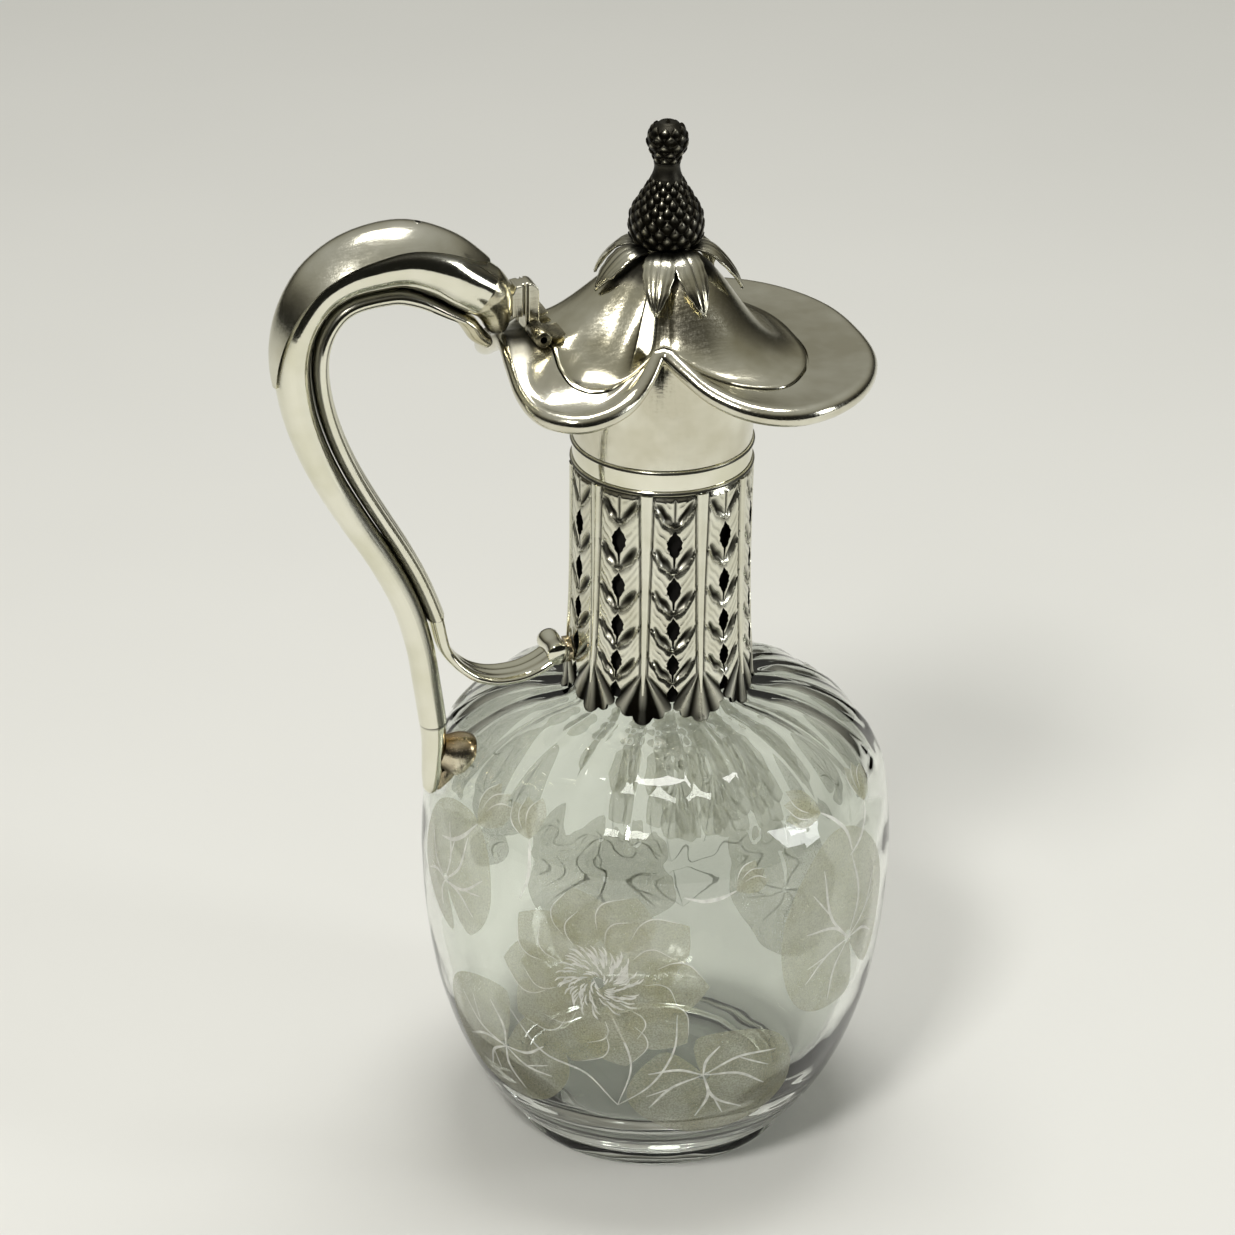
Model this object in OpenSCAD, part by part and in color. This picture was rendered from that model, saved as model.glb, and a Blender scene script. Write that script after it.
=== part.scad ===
// Claret jug: a blown and cut glass body in a silver mount. The mount is a pierced collar, a plain
// neck band, a trefoil pouring lip, a hinged lid with a scaled finial, and a tall scroll handle.
// Millimetres. The origin is on the jug's axis, in the plane that it stands on, and +Z is up.
// The spout points along +X, the handle along -X, and the lid's hinge pin lies along Y.

/* [Glass] */
// Widest diameter of the glass body
belly_d = 123; // [122:0.5:124]
// Diameter of the foot where it stands
foot_d = 73; // [70:0.5:74]
// Height of the inside floor above the table
floor_z = 11; // [9:0.5:12]
// Outer diameter of the glass neck inside the mount
glass_neck_d = 39.6; // [39:0.1:40]
// Bore of the glass neck
glass_bore_d = 31; // [28:0.5:32]
// Height of the top of the glass neck
glass_top_z = 205; // [200:1:206]

/* [Collar] */
// Outer diameter of the collar at its top
collar_d = 45.6; // [45.4:0.1:46]
// Thickness of the silver sheet of the mount
sheet_t = 1.1; // [1:0.05:1.2]
// Number of panels round the collar
panels = 10; // [8:1:12]
// Number of piercings down each panel
holes = 5; // [4:1:5]
// Height of the top of the collar, where the neck band begins
collar_top_z = 190; // [189:0.5:191]
// Height of the top of the neck band
band_top_z = 197; // [196:0.5:198]

/* [Lip and lid] */
// Radius of the rolled edge of the lip
roll_r = 2.5; // [2.3:0.05:2.6]
// Thickness of the lid's shell
lid_t = 1.2; // [1:0.05:1.3]
// Gap between the closed lid and the lip
lid_gap = 0.45; // [0.4:0.05:0.6]
// Height of the top of the lid, under the finial
lid_top_z = 247; // [246.5:0.5:247.5]
// Height of the tip of the finial
tip_z = 281; // [280:0.5:282]

/* [Hinge] */
// Distance of the hinge pin behind the jug's axis
pin_x = -35.2; // [-35.3:0.05:-35.1]
// Height of the hinge pin
pin_z = 231.6; // [231.5:0.05:231.7]
// Diameter of the hinge pin
pin_d = 1.8; // [1.6:0.1:2]
// Running clearance on radius between the pin and its knuckles
pin_gap = 0.05; // [0.03:0.01:0.08]
// Outer radius of the knuckles
knuckle_r = 2.2; // [2.1:0.05:2.2]
// Length of the whole barrel along the pin
barrel_w = 22; // [20:0.5:23]
// Width of the fixed lug in the middle of the barrel
lug_w = 5.6; // [5:0.1:6]

/* [Handle] */
// Half thickness of the outer stem at the top, and at the tail
stem_top_a = 7.4; // [7.2:0.1:7.6]
stem_tail_a = 3.5; // [3.4:0.1:3.6]
// Half width of the outer stem at the top, and at the tail
stem_top_b = 8.8; // [8.6:0.1:9]
stem_tail_b = 4.3; // [4.2:0.1:4.5]
// Half thickness and half width of the inner stem
reed_a = 2.3; // [2.2:0.05:2.4]
reed_b = 4; // [3.8:0.1:4.2]
// Half width of the thumb leaf at its widest
leaf_b = 10; // [9.6:0.1:10.4]

/* [Hidden] */
$fn = 96;

fit = 0.05;                     // gap left between soldered and cemented pieces
mount_r = collar_d / 2;         // outer radius of the mount at the neck
bore_r = mount_r - sheet_t;     // inner radius of the mount at the neck
belly_r = belly_d / 2;

silver = [0.80, 0.80, 0.74];
dark_silver = [0.36, 0.35, 0.31];
clear_glass = [0.84, 0.90, 0.88, 0.5];
plaster = [0.90, 0.87, 0.78];

// ---- Curves ----

function mix(a, b, t) = a + (b - a) * t;
function unit(v) = v / norm(v);

// One point of the smooth curve that passes from p1 to p2 with p0 before it and p3 after it
function curve_at(p0, p1, p2, p3, t) =
    ((2 * p1) + (p2 - p0) * t + (2 * p0 - 5 * p1 + 4 * p2 - p3) * t * t
     + (3 * p1 - p0 - 3 * p2 + p3) * t * t * t) / 2;

// A smooth curve through all the points of p, n steps to a span; before and after set its end slopes
function smooth(p, n, before, after) =
    let (q = concat([before], p, [after]))
    concat([for (i = [0:len(p) - 2]) for (k = [0:n - 1])
                curve_at(q[i], q[i + 1], q[i + 2], q[i + 3], k / n)],
           [p[len(p) - 1]]);

function free_smooth(p, n) =
    smooth(p, n, 2 * p[0] - p[1], 2 * p[len(p) - 1] - p[len(p) - 2]);

function bezier(a, b, c, d, t) =
    a * pow(1 - t, 3) + b * 3 * t * pow(1 - t, 2) + c * 3 * t * t * (1 - t) + d * pow(t, 3);

// The direction of a list of points at index i
function heading(p, i) = unit(p[min(i + 1, len(p) - 1)] - p[max(i - 1, 0)]);

// A closed surface through rings of points, all with the same count. The last ring joins the first
// when closed is true, and otherwise both ends get a flat cap.
module skin(rings, closed = false) {
    m = len(rings);
    n = len(rings[0]);
    last = closed ? m - 1 : m - 2;
    sides = [for (i = [0:last]) for (j = [0:n - 1])
                 let (a = i * n + j, b = i * n + (j + 1) % n,
                      c = ((i + 1) % m) * n + (j + 1) % n, d = ((i + 1) % m) * n + j)
                 each [[a, b, c], [a, c, d]]];
    caps = closed ? [] : [[for (j = [n - 1:-1:0]) j], [for (j = [0:n - 1]) (m - 1) * n + j]];
    polyhedron(points = [for (r = rings) each r], faces = concat(sides, caps));
}

// ---- Glass ----

// Outside of the body, as [radius, height], from just over the foot to the root of the neck
body_pts = [[41.8, 8], [46.1, 14], [50.5, 22], [54.5, 32], [57.9, 44], [60.2, 58], [61.3, 72],
            [belly_r, 85], [60, 100], [57.6, 106.5], [54, 112], [48.3, 117.2], [41, 121.6],
            [33.8, 124.2], [28, 125.2]];
root_pts = [[23.6, 126.1], [21, 129.4], [20.2, 136], [glass_neck_d / 2, 145]];
glass_outside = free_smooth(concat(body_pts, root_pts), 3);
// Inside of the body, from the middle of the floor to the start of the straight bore
inside_pts = [[28, floor_z + 0.6], [38, 14.8], [43.6, 20.4], [48, 28], [52.3, 38], [55.2, 50],
              [57, 64], [57.8, 80], [57, 94], [53.8, 104.6], [48, 111.8], [39, 117.4], [29, 121],
              [21.6, 124.6], [17.4, 130.5], [16, 138]];
glass_inside = free_smooth(inside_pts, 2);
lug_at = [-50.5, 0, 112.5];     // the lug's foot on the shoulder
lug_tilt = -70;                 // its lean from upright, toward the handle
lug_r = 3.2;
lug_len = 7.4;

module glass_shape(grow) {
    rotate_extrude()
        polygon(concat([[0, 0], [foot_d / 2 + grow, 0], [foot_d / 2 + 0.6 + grow, 5.4],
                        [foot_d / 2 + 2 + grow, 6.8]],
                       [for (p = glass_outside) [p[0] + grow * 0.8, p[1] + grow * 0.6]],
                       [[glass_neck_d / 2 + grow * 0.8, glass_top_z], [0, glass_top_z]]));
}

module lug(grow) {
    translate(lug_at) rotate([0, lug_tilt, 0])
        translate([0, 0, -3]) cylinder(r = lug_r + grow, h = lug_len + 3 + grow);
}

bowl_z = 33;                    // the plane between the foot with the floor and the bowl's wall
shoulder_z = 98;                // the plane between the bowl and the shoulder
neck_z = 126;                   // the plane between the shoulder and the neck
plane_gap = 0.01;

// The whole glass between two heights. It is one piece of glass, told apart into foot, bowl, shoulder
// and neck along three level planes.
module glass_part(low, high) {
    color(clear_glass) difference() {
        intersection() {
            union() {
                glass_shape(0);
                lug(0);
            }
            translate([0, 0, low]) cylinder(r = belly_r + 5, h = high - low);
        }
        rotate_extrude()
            polygon(concat([[0, floor_z]], glass_inside,
                           [[glass_bore_d / 2, 150], [glass_bore_d / 2, glass_top_z + 1],
                            [0, glass_top_z + 1]]));
    }
}

module glass_foot() {
    glass_part(0, bowl_z);
}

module glass_bowl() {
    glass_part(bowl_z + plane_gap, shoulder_z);
}

module glass_shoulder() {
    glass_part(shoulder_z + plane_gap, neck_z);
}

module glass_neck() {
    glass_part(neck_z + plane_gap, glass_top_z);
}

// ---- Collar, band and neck ----

// Outside of the collar, as [radius, height], from the hem on the shoulder to the neck band
collar_pts = [[24.8, 126.6], [24.3, 129], [23.9, 132.5], [23.5, 138], [23.1, 146],
              [22.8, 156], [22.7, 172], [mount_r, collar_top_z]];
collar_outside = free_smooth(collar_pts, 3);
panel_step = 360 / panels;
panel_phase = 7;                // first panel's centre, from the handle's side
notch_w = 11;                   // the pointed notch between two leaf tips of the hem
notch_top_z = 132.6;
top_hole_z = 176.4;             // the highest piercing; each pitch below it is a little shorter
first_pitch = 12.6;
pitch_step = 1.4;
hole_w = 3.6;
hole_h = 7;
function hole_z(i) = top_hole_z - first_pitch * i + pitch_step * i * (i - 1) / 2;

module collar_sheet(inner, outer) {
    rotate_extrude()
        polygon(concat([for (p = collar_outside) [p[0] + outer, p[1]]],
                       [for (i = [len(collar_outside) - 1:-1:0]) let (p = collar_outside[i])
                            [p[0] + inner, p[1]]]));
}

module at_panels(offset) {
    for (k = [0:panels - 1])
        rotate([0, 0, 180 + panel_phase + (k + offset) * panel_step]) children();
}

// A lozenge hole through one wall of the collar
module piercing(z) {
    translate([15, 0, z]) rotate([90, 0, 90]) linear_extrude(15)
        polygon([[0, -hole_h / 2], [hole_w / 2, 0.4], [0, hole_h / 2], [-hole_w / 2, 0.4]]);
}

module collar() {
    color(silver) difference() {
        collar_sheet(-sheet_t, 0);
        at_panels(0) {
            for (i = [0:holes - 1]) piercing(hole_z(i));
            translate([15, 0, notch_top_z]) rotate([90, 0, 90]) linear_extrude(15)
                polygon([[-notch_w / 2, -8], [-1.4, -3.4], [0, 0], [1.4, -3.4], [notch_w / 2, -8]]);
        }
    }
}

// Plain straps that stand on the collar between its panels, from the band to the leaf tips
module collar_ribs() {
    rib_angle = 7;
    color(silver) at_panels(0.5) rotate([0, 0, -rib_angle / 2]) rotate_extrude(angle = rib_angle)
        polygon(concat([for (p = collar_outside) if (p[1] > 132) [p[0] + 0.7, p[1]]],
                       [for (i = [len(collar_outside) - 1:-1:0]) let (p = collar_outside[i])
                            if (p[1] > 132) [p[0] + fit, p[1]]]));
}

module neck_band() {
    color(silver) translate([0, 0, collar_top_z + fit]) difference() {
        cylinder(r = mount_r, h = band_top_z - collar_top_z - 2 * fit);
        translate([0, 0, -1]) cylinder(r = bore_r, h = 20);
    }
}

// The two half-round wires that close the band's joints
module band_wires() {
    wire_r = 0.55;
    color(silver) for (z = [collar_top_z + 0.7, band_top_z - 0.7])
        rotate_extrude() translate([mount_r + fit, z]) intersection() {
            circle(r = wire_r, $fn = 24);
            translate([0, -wire_r]) square([wire_r, 2 * wire_r]);
        }
}

// The cement that holds the mount on the glass neck
module neck_plaster() {
    color(plaster) difference() {
        translate([0, 0, collar_top_z + 1]) cylinder(r = bore_r - fit, h = glass_top_z - collar_top_z - 2);
        translate([0, 0, collar_top_z]) cylinder(r = glass_neck_d / 2 + fit, h = 20);
    }
}

// ---- Lip and lid ----

// Half of the trefoil, as [angle from the spout, lip radius, lip height, lid radius, lid height]
front_lobe = [[0, 52.6, 219.4, 34, 220], [20, 53.4, 219.4, 35.2, 220], [40, 53, 219.4, 36.3, 220],
              [56, 51, 219.4, 36.2, 220.1], [68, 47.8, 219.7, 32, 220.9], [79, 41.8, 220.8, 27.2, 222.4],
              [90, 35, 223.4, 23.8, 224.6], [101, 28.6, 227.4, 21.2, 226.8], [110, 24.4, 230.2, 18.7, 228.3]];
rear_lobe = [[110, 24.4, 230.2, 18.7, 228.3], [114.5, 28.4, 226.4, 19.3, 227.4],
             [120.5, 33.6, 222.2, 21.5, 225.8], [127.5, 40.2, 220.2, 26.8, 223.8],
             [135, 46, 219.6, 34.4, 222.4], [145, 48.4, 219.6, 36.8, 223], [153, 48, 220.4, 36.6, 226.2],
             [161, 46.6, 222.6, 34.6, 229.6], [170, 44.8, 226.6, 33.2, 230.4], [180, 43.8, 230, 32.7, 230.5]];
// Reflects a row in the spout's or the handle's direction, to keep the curve square to it there
function reflect_row(row, about) = [2 * about - row[0], row[1], row[2], row[3], row[4]];
lobe_steps = 3;
front_half = smooth(front_lobe, lobe_steps, reflect_row(front_lobe[1], 0),
                    2 * front_lobe[8] - front_lobe[7]);
rear_half = smooth(rear_lobe, lobe_steps, 2 * rear_lobe[0] - rear_lobe[1],
                   reflect_row(rear_lobe[8], 180));
half_rows = concat(front_half, [for (i = [1:len(rear_half) - 1]) rear_half[i]]);
trefoil = concat(half_rows, [for (i = [len(half_rows) - 2:-1:1])
                                 [-half_rows[i][0], half_rows[i][1], half_rows[i][2],
                                  half_rows[i][3], half_rows[i][4]]]);
columns = len(trefoil);

function polar(r, a, z) = [r * cos(a), r * sin(a), z];
function rim_point(i) = let (c = trefoil[(i + columns) % columns]) [c[1] * cos(c[0]), c[1] * sin(c[0])];
// Outward direction of the lip's edge in plan
function rim_normal(i) =
    let (d = rim_point(i + 1) - rim_point(i - 1)) unit([d[1], -d[0], 0]);

lip_start_z = band_top_z + fit;
funnel_steps = 6;
seat_gap = lid_t + lid_gap;

// The inner face of the lip along one column, from the neck to the seat of the lid's edge
function funnel(i) =
    let (c = trefoil[i], a = c[0], seat_r = min(c[3] + 0.6, c[1] - 2 * roll_r - 0.1),
         lid_side = c[4] - seat_gap,
         seat_z = min(lid_side, mix(c[2], max(c[2], lid_side), 0.6) - 0.1),
         start = polar(bore_r, a, lip_start_z), seat = polar(seat_r, a, seat_z))
    [for (k = [0:funnel_steps])
         bezier(start, polar(bore_r, a, mix(lip_start_z, seat_z, 0.8)),
                polar(mix(bore_r, seat_r, 0.35), a, seat_z), seat, k / funnel_steps)];

// Moves the points of one column's inner face outward and down by the sheet's thickness
function underside(p, a) =
    [for (k = [0:len(p) - 1])
         let (h = k == 0 ? [0, 0, 1] : heading(p, k), flat = h * [cos(a), sin(a), 0],
              away = unit([h[2] * cos(a), h[2] * sin(a), -flat]))
         p[k] + away * sheet_t];

// The rolled edge of one column, from its inner top round the outside to its underside
function roll(i) =
    let (c = trefoil[i], n = rim_normal(i), p = concat(rim_point(i), [c[2] - roll_r]),
         middle = p - n * roll_r)
    [for (a = [90:-35:-155]) middle + n * roll_r * cos(a) + [0, 0, roll_r * sin(a)]];

function lip_column(i) =
    let (inner = funnel(i), outer = underside(inner, trefoil[i][0]))
    concat(inner, roll(i), [for (k = [len(outer) - 1:-1:0]) outer[k]]);

module spout_lip() {
    color(silver) skin([for (i = [0:columns - 1]) lip_column(i)], closed = true);
}

stud_hole_r = 2.3;
dome_steps = 9;

// The lid's outer face along one column, from the stud's hole over the dome to the edge
function dome(i) =
    let (c = trefoil[i], a = c[0], back = max(0, -cos(a)), edge_r = c[3], edge_z = c[4],
         cusp = max(0, min(1, (28 - edge_r) / 8)),
         crown_r = mix(15.5, 12.6, cusp) - back * 1.5,
         waist_r = mix(19.4, 15.2, cusp) + back * 4.9 * (1 - cusp),
         waist_z = mix(mix(222.3, 224.4, cusp), edge_z - 0.6, back * (1 - cusp)))
    [for (k = [0:dome_steps])
         bezier(polar(stud_hole_r, a, lid_top_z), polar(crown_r, a, lid_top_z),
                polar(waist_r, a, waist_z), polar(edge_r, a, edge_z), k / dome_steps)];

// The lid's inner face: its outer face moved inward by the shell's thickness
function lining(p, a) =
    [for (k = [0:len(p) - 1])
         let (h = k == 0 ? [cos(a), sin(a), 0] : k == len(p) - 1 ? [cos(a), sin(a), 0] : heading(p, k),
              flat = h * [cos(a), sin(a), 0], away = unit([h[2] * cos(a), h[2] * sin(a), -flat]))
         p[k] + away * lid_t];

function lid_column(i) =
    let (outer = dome(i), inner = lining(outer, trefoil[i][0]))
    concat([for (k = [len(outer) - 1:-1:0]) outer[k]], inner);

module lid_shell() {
    color(silver) skin([for (i = [columns - 1:-1:0]) lid_column(i)], closed = true);
}

// ---- Finial ----

finial_z = lid_top_z + 2.2;     // where the finial stands on its leaves
finial_pts = [[7.6, finial_z], [8.9, 250.6], [9.5, 253.2], [9.1, 257], [7, 261], [4.4, 265.4],
              [3.3, 268.8], [3.9, 271.4], [5.1, 274], [5.4, 276], [4.6, 278.8], [2.6, 280.6]];
stud_r = 2;
stud_len = 16;
nut_h = 2.6;
washer_h = 0.8;
under_lid_z = lid_top_z - lid_t - 0.6;  // where the washer's rim meets the curved underside

module finial() {
    color(dark_silver) difference() {
        rotate_extrude() polygon(concat([[0, finial_z]], free_smooth(finial_pts, 3), [[0, tip_z]]));
        translate([0, 0, finial_z - 1]) cylinder(r = stud_r + fit, h = 9 + 1);
    }
}

// The drooping leaves under the finial, on a thin ring that the stud passes through. Going round,
// the leaves are told apart by how far each column reaches along their common spine.
leaf_turns = [-173, -116, -79, -20, 32, 84, 136];
leaf_spine = free_smooth([[6.2, 248.2], [8.8, 248.5], [11.8, 247.6], [15, 244.8], [17.6, 240.8],
                          [19.6, 236.4]], 2);
rear_lift = 3.2;                // the leaves over the lid's broader rear slope droop less
leaf_outline = [[0, 1], [9, 0.8], [16, 0.6], [21, 0.4], [26, 0.2], [30, 0.1]];
leaf_columns = 8;
leaf_rows = 5;
leaf_t = 0.55;
ring_r = 6.2;

// A point of the spine and the direction square to it, at t of its length
function spine_at(t) =
    let (u = t * (len(leaf_spine) - 1), i = min(floor(u), len(leaf_spine) - 2),
         h = unit(leaf_spine[i + 1] - leaf_spine[i]))
    [mix(leaf_spine[i], leaf_spine[i + 1], u - i), [-h[1], h[0]]];

// One column at angle a, where the nearest leaf's middle is away degrees off
function calyx_column(a, away) =
    let (reach = lookup(away, leaf_outline), low = lid_top_z + fit, high = finial_z - fit,
         lift = rear_lift * pow(max(0, -cos(a)), 2),
         steps = [for (k = [1:leaf_rows]) let (t = reach * k / leaf_rows, s = spine_at(t))
                      [s[0] + [0, lift * t * t], s[1]]])
    concat([polar(stud_hole_r, a, low), polar(stud_hole_r, a, high), polar(ring_r, a, high)],
           [for (s = steps) let (p = s[0] + s[1] * leaf_t) polar(p[0], a, p[1])],
           [for (k = [leaf_rows - 1:-1:0])
                let (s = steps[k], p = s[0] - s[1] * leaf_t) polar(p[0], a, p[1])],
           [polar(ring_r, a, low + 0.6), polar(ring_r, a, low)]);

module finial_calyx() {
    turns = concat(leaf_turns, [leaf_turns[0] + 360]);
    color(silver) skin([for (k = [0:len(leaf_turns) - 1], j = [0:leaf_columns - 1])
                            let (span = turns[k + 1] - turns[k])
                            calyx_column(turns[k] + span * j / leaf_columns,
                                         span * min(j, leaf_columns - j) / leaf_columns)],
                       closed = true);
}

module finial_stud() {
    color(dark_silver) translate([0, 0, under_lid_z - washer_h - nut_h - 1.2])
        cylinder(r = stud_r, h = finial_z + 8.5 - (under_lid_z - washer_h - nut_h - 1.2));
}

module finial_washer() {
    color(silver) translate([0, 0, under_lid_z - washer_h - fit]) difference() {
        cylinder(r = 4.6, h = washer_h);
        translate([0, 0, -1]) cylinder(r = stud_r + fit, h = 3);
    }
}

module finial_nut() {
    color(silver) translate([0, 0, under_lid_z - washer_h - nut_h - 2 * fit]) difference() {
        cylinder(r = 4, h = nut_h, $fn = 6);
        translate([0, 0, -1]) cylinder(r = stud_r + fit, h = nut_h + 2);
    }
}

// ---- Hinge ----

lug_back_x = -40.6;             // back of the lug, against the handle's cast end
lug_front_x = pin_x + 1.5;
lug_low_z = 234.8;              // underside of the lug behind the barrel
lug_top_z = 243.4;
groove_w = 0.6;                 // the two grooves that part the lug into three fins
groove_d = 0.9;
side_gap = 0.25;                // gap between neighbouring knuckles
strap_t = 0.8;                  // the lid's knuckles run out as straps that lie on the lid

module along_pin(y, w, r) {
    translate([pin_x, y, pin_z]) rotate([90, 0, 0]) cylinder(r = r, h = w, center = true);
}

// Side view of the fixed lug: a round-topped block behind the pin and an arm down to its knuckle
module lug_outline() {
    back = -lug_back_x;
    front = -lug_front_x;
    arm = -pin_x + 2.1;
    corner_r = 2.6;
    polygon(concat([[back, lug_low_z], [arm, lug_low_z], [arm, pin_z], [front, pin_z]],
                   [for (t = [0:15:90]) [front + corner_r * (1 - cos(t)),
                                         lug_top_z - corner_r * (1 - sin(t))]],
                   [for (t = [60:30:90]) [back - 1 + cos(t), lug_top_z - 1.4 + sin(t)]],
                   [[back, lug_top_z - 2.4]]));
}

module hinge_fixed_lug() {
    color(silver) difference() {
        union() {
            rotate([90, 0, 180]) linear_extrude(lug_w, center = true) lug_outline();
            along_pin(0, lug_w, knuckle_r);
        }
        along_pin(0, lug_w + 2, pin_d / 2 + pin_gap);
        for (s = [-1, 1], x = [lug_back_x + 3, lug_front_x - 3])
            translate([x, s * lug_w / 2, lug_top_z - 9])
                cube([groove_w, 2 * groove_d, 30], center = true);
    }
}

module hinge_lid_knuckles() {
    w = (barrel_w - lug_w) / 2 - side_gap;
    color(silver) for (s = [-1, 1]) difference() {
        union() {
            along_pin(s * (barrel_w - w) / 2, w, knuckle_r);
            translate([pin_x, s * (barrel_w - w) / 2 - w / 2, pin_z + 0.9])
                cube([4.6, w, strap_t]);
        }
        along_pin(0, barrel_w + 2, pin_d / 2 + pin_gap);
    }
}

module hinge_pin() {
    color(dark_silver) along_pin(0, barrel_w, pin_d / 2);
}

// ---- Handle ----

// Middle line of the outer stem, as [x, z], from the hinge over the arch to the joint at the tail
stem_pts = [[-47.9, 242.4], [-52.9, 246], [-59.2, 250.4], [-67.5, 253.5], [-75.7, 253.2], [-83, 251.2],
            [-89.4, 246.8], [-94.2, 239], [-96.1, 229.4], [-95.1, 218.3], [-92.1, 207.4],
            [-87.4, 196.2], [-81, 184.4], [-73.8, 172], [-67.9, 159.4], [-64.3, 146.7],
            [-62.4, 134.6], [-61, 124.4]];
stem = free_smooth(stem_pts, 2);
stem_last = len(stem) - 1;
function stem_a(i) = lookup(i / stem_last, [[0, stem_top_a - 0.5], [0.06, stem_top_a - 0.1],
                                            [0.12, stem_top_a], [0.18, stem_top_a],
                                            [0.24, stem_top_a - 0.2], [0.3, stem_top_a - 1.1],
                                            [0.36, stem_top_a - 2], [0.42, stem_top_a - 2.7],
                                            [0.5, 4.3], [0.75, 3.6], [1, stem_tail_a]]);
function stem_b(i) = lookup(i / stem_last, [[0, stem_top_b - 2], [0.06, stem_top_b - 1],
                                            [0.12, stem_top_b - 0.2], [0.2, stem_top_b],
                                            [0.27, stem_top_b - 0.6], [0.36, 7], [0.46, 6.1],
                                            [0.7, 4.8], [1, stem_tail_b]]);
// Direction in the handle's plane from the stem toward the neck, square to the stem
function inward(p, i) = let (h = heading(p, i)) [-h[1], h[0]];

// One oval ring round a point of a line in the handle's plane
function oval(c, n, a, b, sides) =
    [for (k = [0:sides - 1]) let (t = 360 * k / sides)
         [c[0] + n[0] * a * cos(t), b * sin(t), c[1] + n[1] * a * cos(t)]];

module handle_outer_stem() {
    color(silver) skin([for (i = [0:stem_last])
                            oval(stem[i], inward(stem, i), stem_a(i), stem_b(i), 20)]);
}

// An oval face of the handle's cast end, square to direction h and set back from point p
module end_disc(p, h, back, a, b) {
    translate([p[0] - h[0] * back, 0, p[1] - h[1] * back]) rotate([0, atan2(-h[0], -h[1]), 0])
        scale([a, b, 1]) cylinder(r = 1, h = 0.6, $fn = 32);
}

// The cast end that closes both stems and stands on the lip, behind the hinge's lug
module handle_terminal() {
    foot_z = 230.1;
    reed_end_a = 1.4;
    color(silver) hull() {
        end_disc(stem[0], heading(stem, 0), fit, stem_a(0), stem_b(0));
        end_disc(reed_line[0], heading(stem, 0), 0.4, reed_end_a, reed_b);
        translate([lug_back_x - fit - 0.5, -3.4, lug_low_z]) cube([0.5, 6.8, lug_top_z - lug_low_z]);
        translate([-44.6, -5, foot_z]) cube([3.4, 10, 1]);
    }
    // Its heel reaches down behind the lip's rolled edge
    color(silver) hull() {
        end_disc(reed_line[0], heading(stem, 0), 0.4, reed_end_a, reed_b);
        translate([-47.6, -4, 227.4]) cube([3.1, 8, 2.6]);
    }
}

reed_first = 0;                 // rings of the outer stem that the inner stem lies under
reed_last = 29;
reed_line = [for (i = [reed_first:reed_last])
                 let (u = min(1, (i - reed_first) / 5))
                 stem[i] + inward(stem, i) * (stem_a(i) + fit + mix(1.4, reed_a, u))];

module handle_inner_stem() {
    m = len(reed_line) - 1;
    color(silver) skin([for (i = [0:m]) let (u = min(1, i / 5))
                            oval(reed_line[i], inward(reed_line, i), mix(1.4, reed_a, u), reed_b, 16)]);
}

// The strut that leaves the stem and curls up to the collar
strut_pts = [[-58.4, 146.4], [-55.8, 142], [-53, 139], [-49.4, 136.5], [-44.5, 135], [-38.4, 135],
             [-33.6, 136.4], [-30, 138.4]];
strut_line = free_smooth(concat([reed_line[len(reed_line) - 1] + [0.04, -0.3]], strut_pts), 2);
curl_at = [-28.6, 140.6];       // the rolled end of the strut
curl_r = 3;
strut_a = 1.9;
strut_b = 5;

module strut_curl(r, w) {
    translate([curl_at[0], 0, curl_at[1]]) rotate([90, 0, 0]) cylinder(r = r, h = w, center = true);
}

module handle_strut() {
    m = len(strut_line) - 1;
    color(silver) union() {
        skin([for (i = [0:m])
                  oval(strut_line[i], inward(strut_line, i), mix(reed_a, strut_a, min(1, i / 4)),
                       mix(reed_b, strut_b, min(1, i / 8)), 16)]);
        strut_curl(curl_r, 2 * strut_b);
    }
}

// The short boss that ties the strut to the collar
module strut_boss() {
    color(silver) difference() {
        translate([-28, 0, 139.4]) rotate([0, 90, 0]) cylinder(r = 3.4, h = 6);
        collar_sheet(-6, 0.8 + fit);
        strut_curl(curl_r + fit, 20);
    }
}

// The leaf soldered over the top of the arch, where the thumb rests: a crescent in section
leaf_first = 1;
leaf_last = 17;

function thumb_ring(i) =
    let (u = (i - leaf_first) / (leaf_last - leaf_first), swell = pow(sin(180 * mix(0.02, 0.98, u)), 0.55),
         a = stem_a(i) + fit, b = stem_b(i) + fit, n = inward(stem, i), reach = 62 * swell,
         wide = mix(0, leaf_b - b, swell), arc = [for (k = [-6:6]) k / 6])
    concat([for (v = arc) let (t = reach * v)
                [stem[i][0] - n[0] * a * cos(t), b * sin(t), stem[i][1] - n[1] * a * cos(t)]],
           [for (k = [len(arc) - 1:-1:0])
                let (v = arc[k], t = reach * v, up = 0.35 + 1.6 * swell * (1 - v * v * 0.75))
                [stem[i][0] - n[0] * (a + up) * cos(t), (b + max(0.35, wide * v * v)) * sin(t),
                 stem[i][1] - n[1] * (a + up) * cos(t)]]);

module handle_thumb_leaf() {
    vent_r = 0.8;               // the small vent hole that let gas out while the handle was soldered
    color(silver) difference() {
        skin([for (i = [leaf_first:leaf_last]) thumb_ring(i)]);
        translate([-66, 0, 259]) cylinder(r = vent_r, h = 9);
    }
}

// ---- Tail ----

tail_pts = [[-60.9, 123.8], [-60.8, 119], [-61.1, 113], [-61.4, 108], [-61.6, 103.6]];
socket_b = 4.6;

module socket_outline() {
    polygon([[-62.4, 104.6], [-60, 104], [-48.6, 115.4], [-49.2, 117.2], [-51, 119.2], [-54, 121.2],
             [-58, 123.7], [-61.4, 123.7]]);
}

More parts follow.
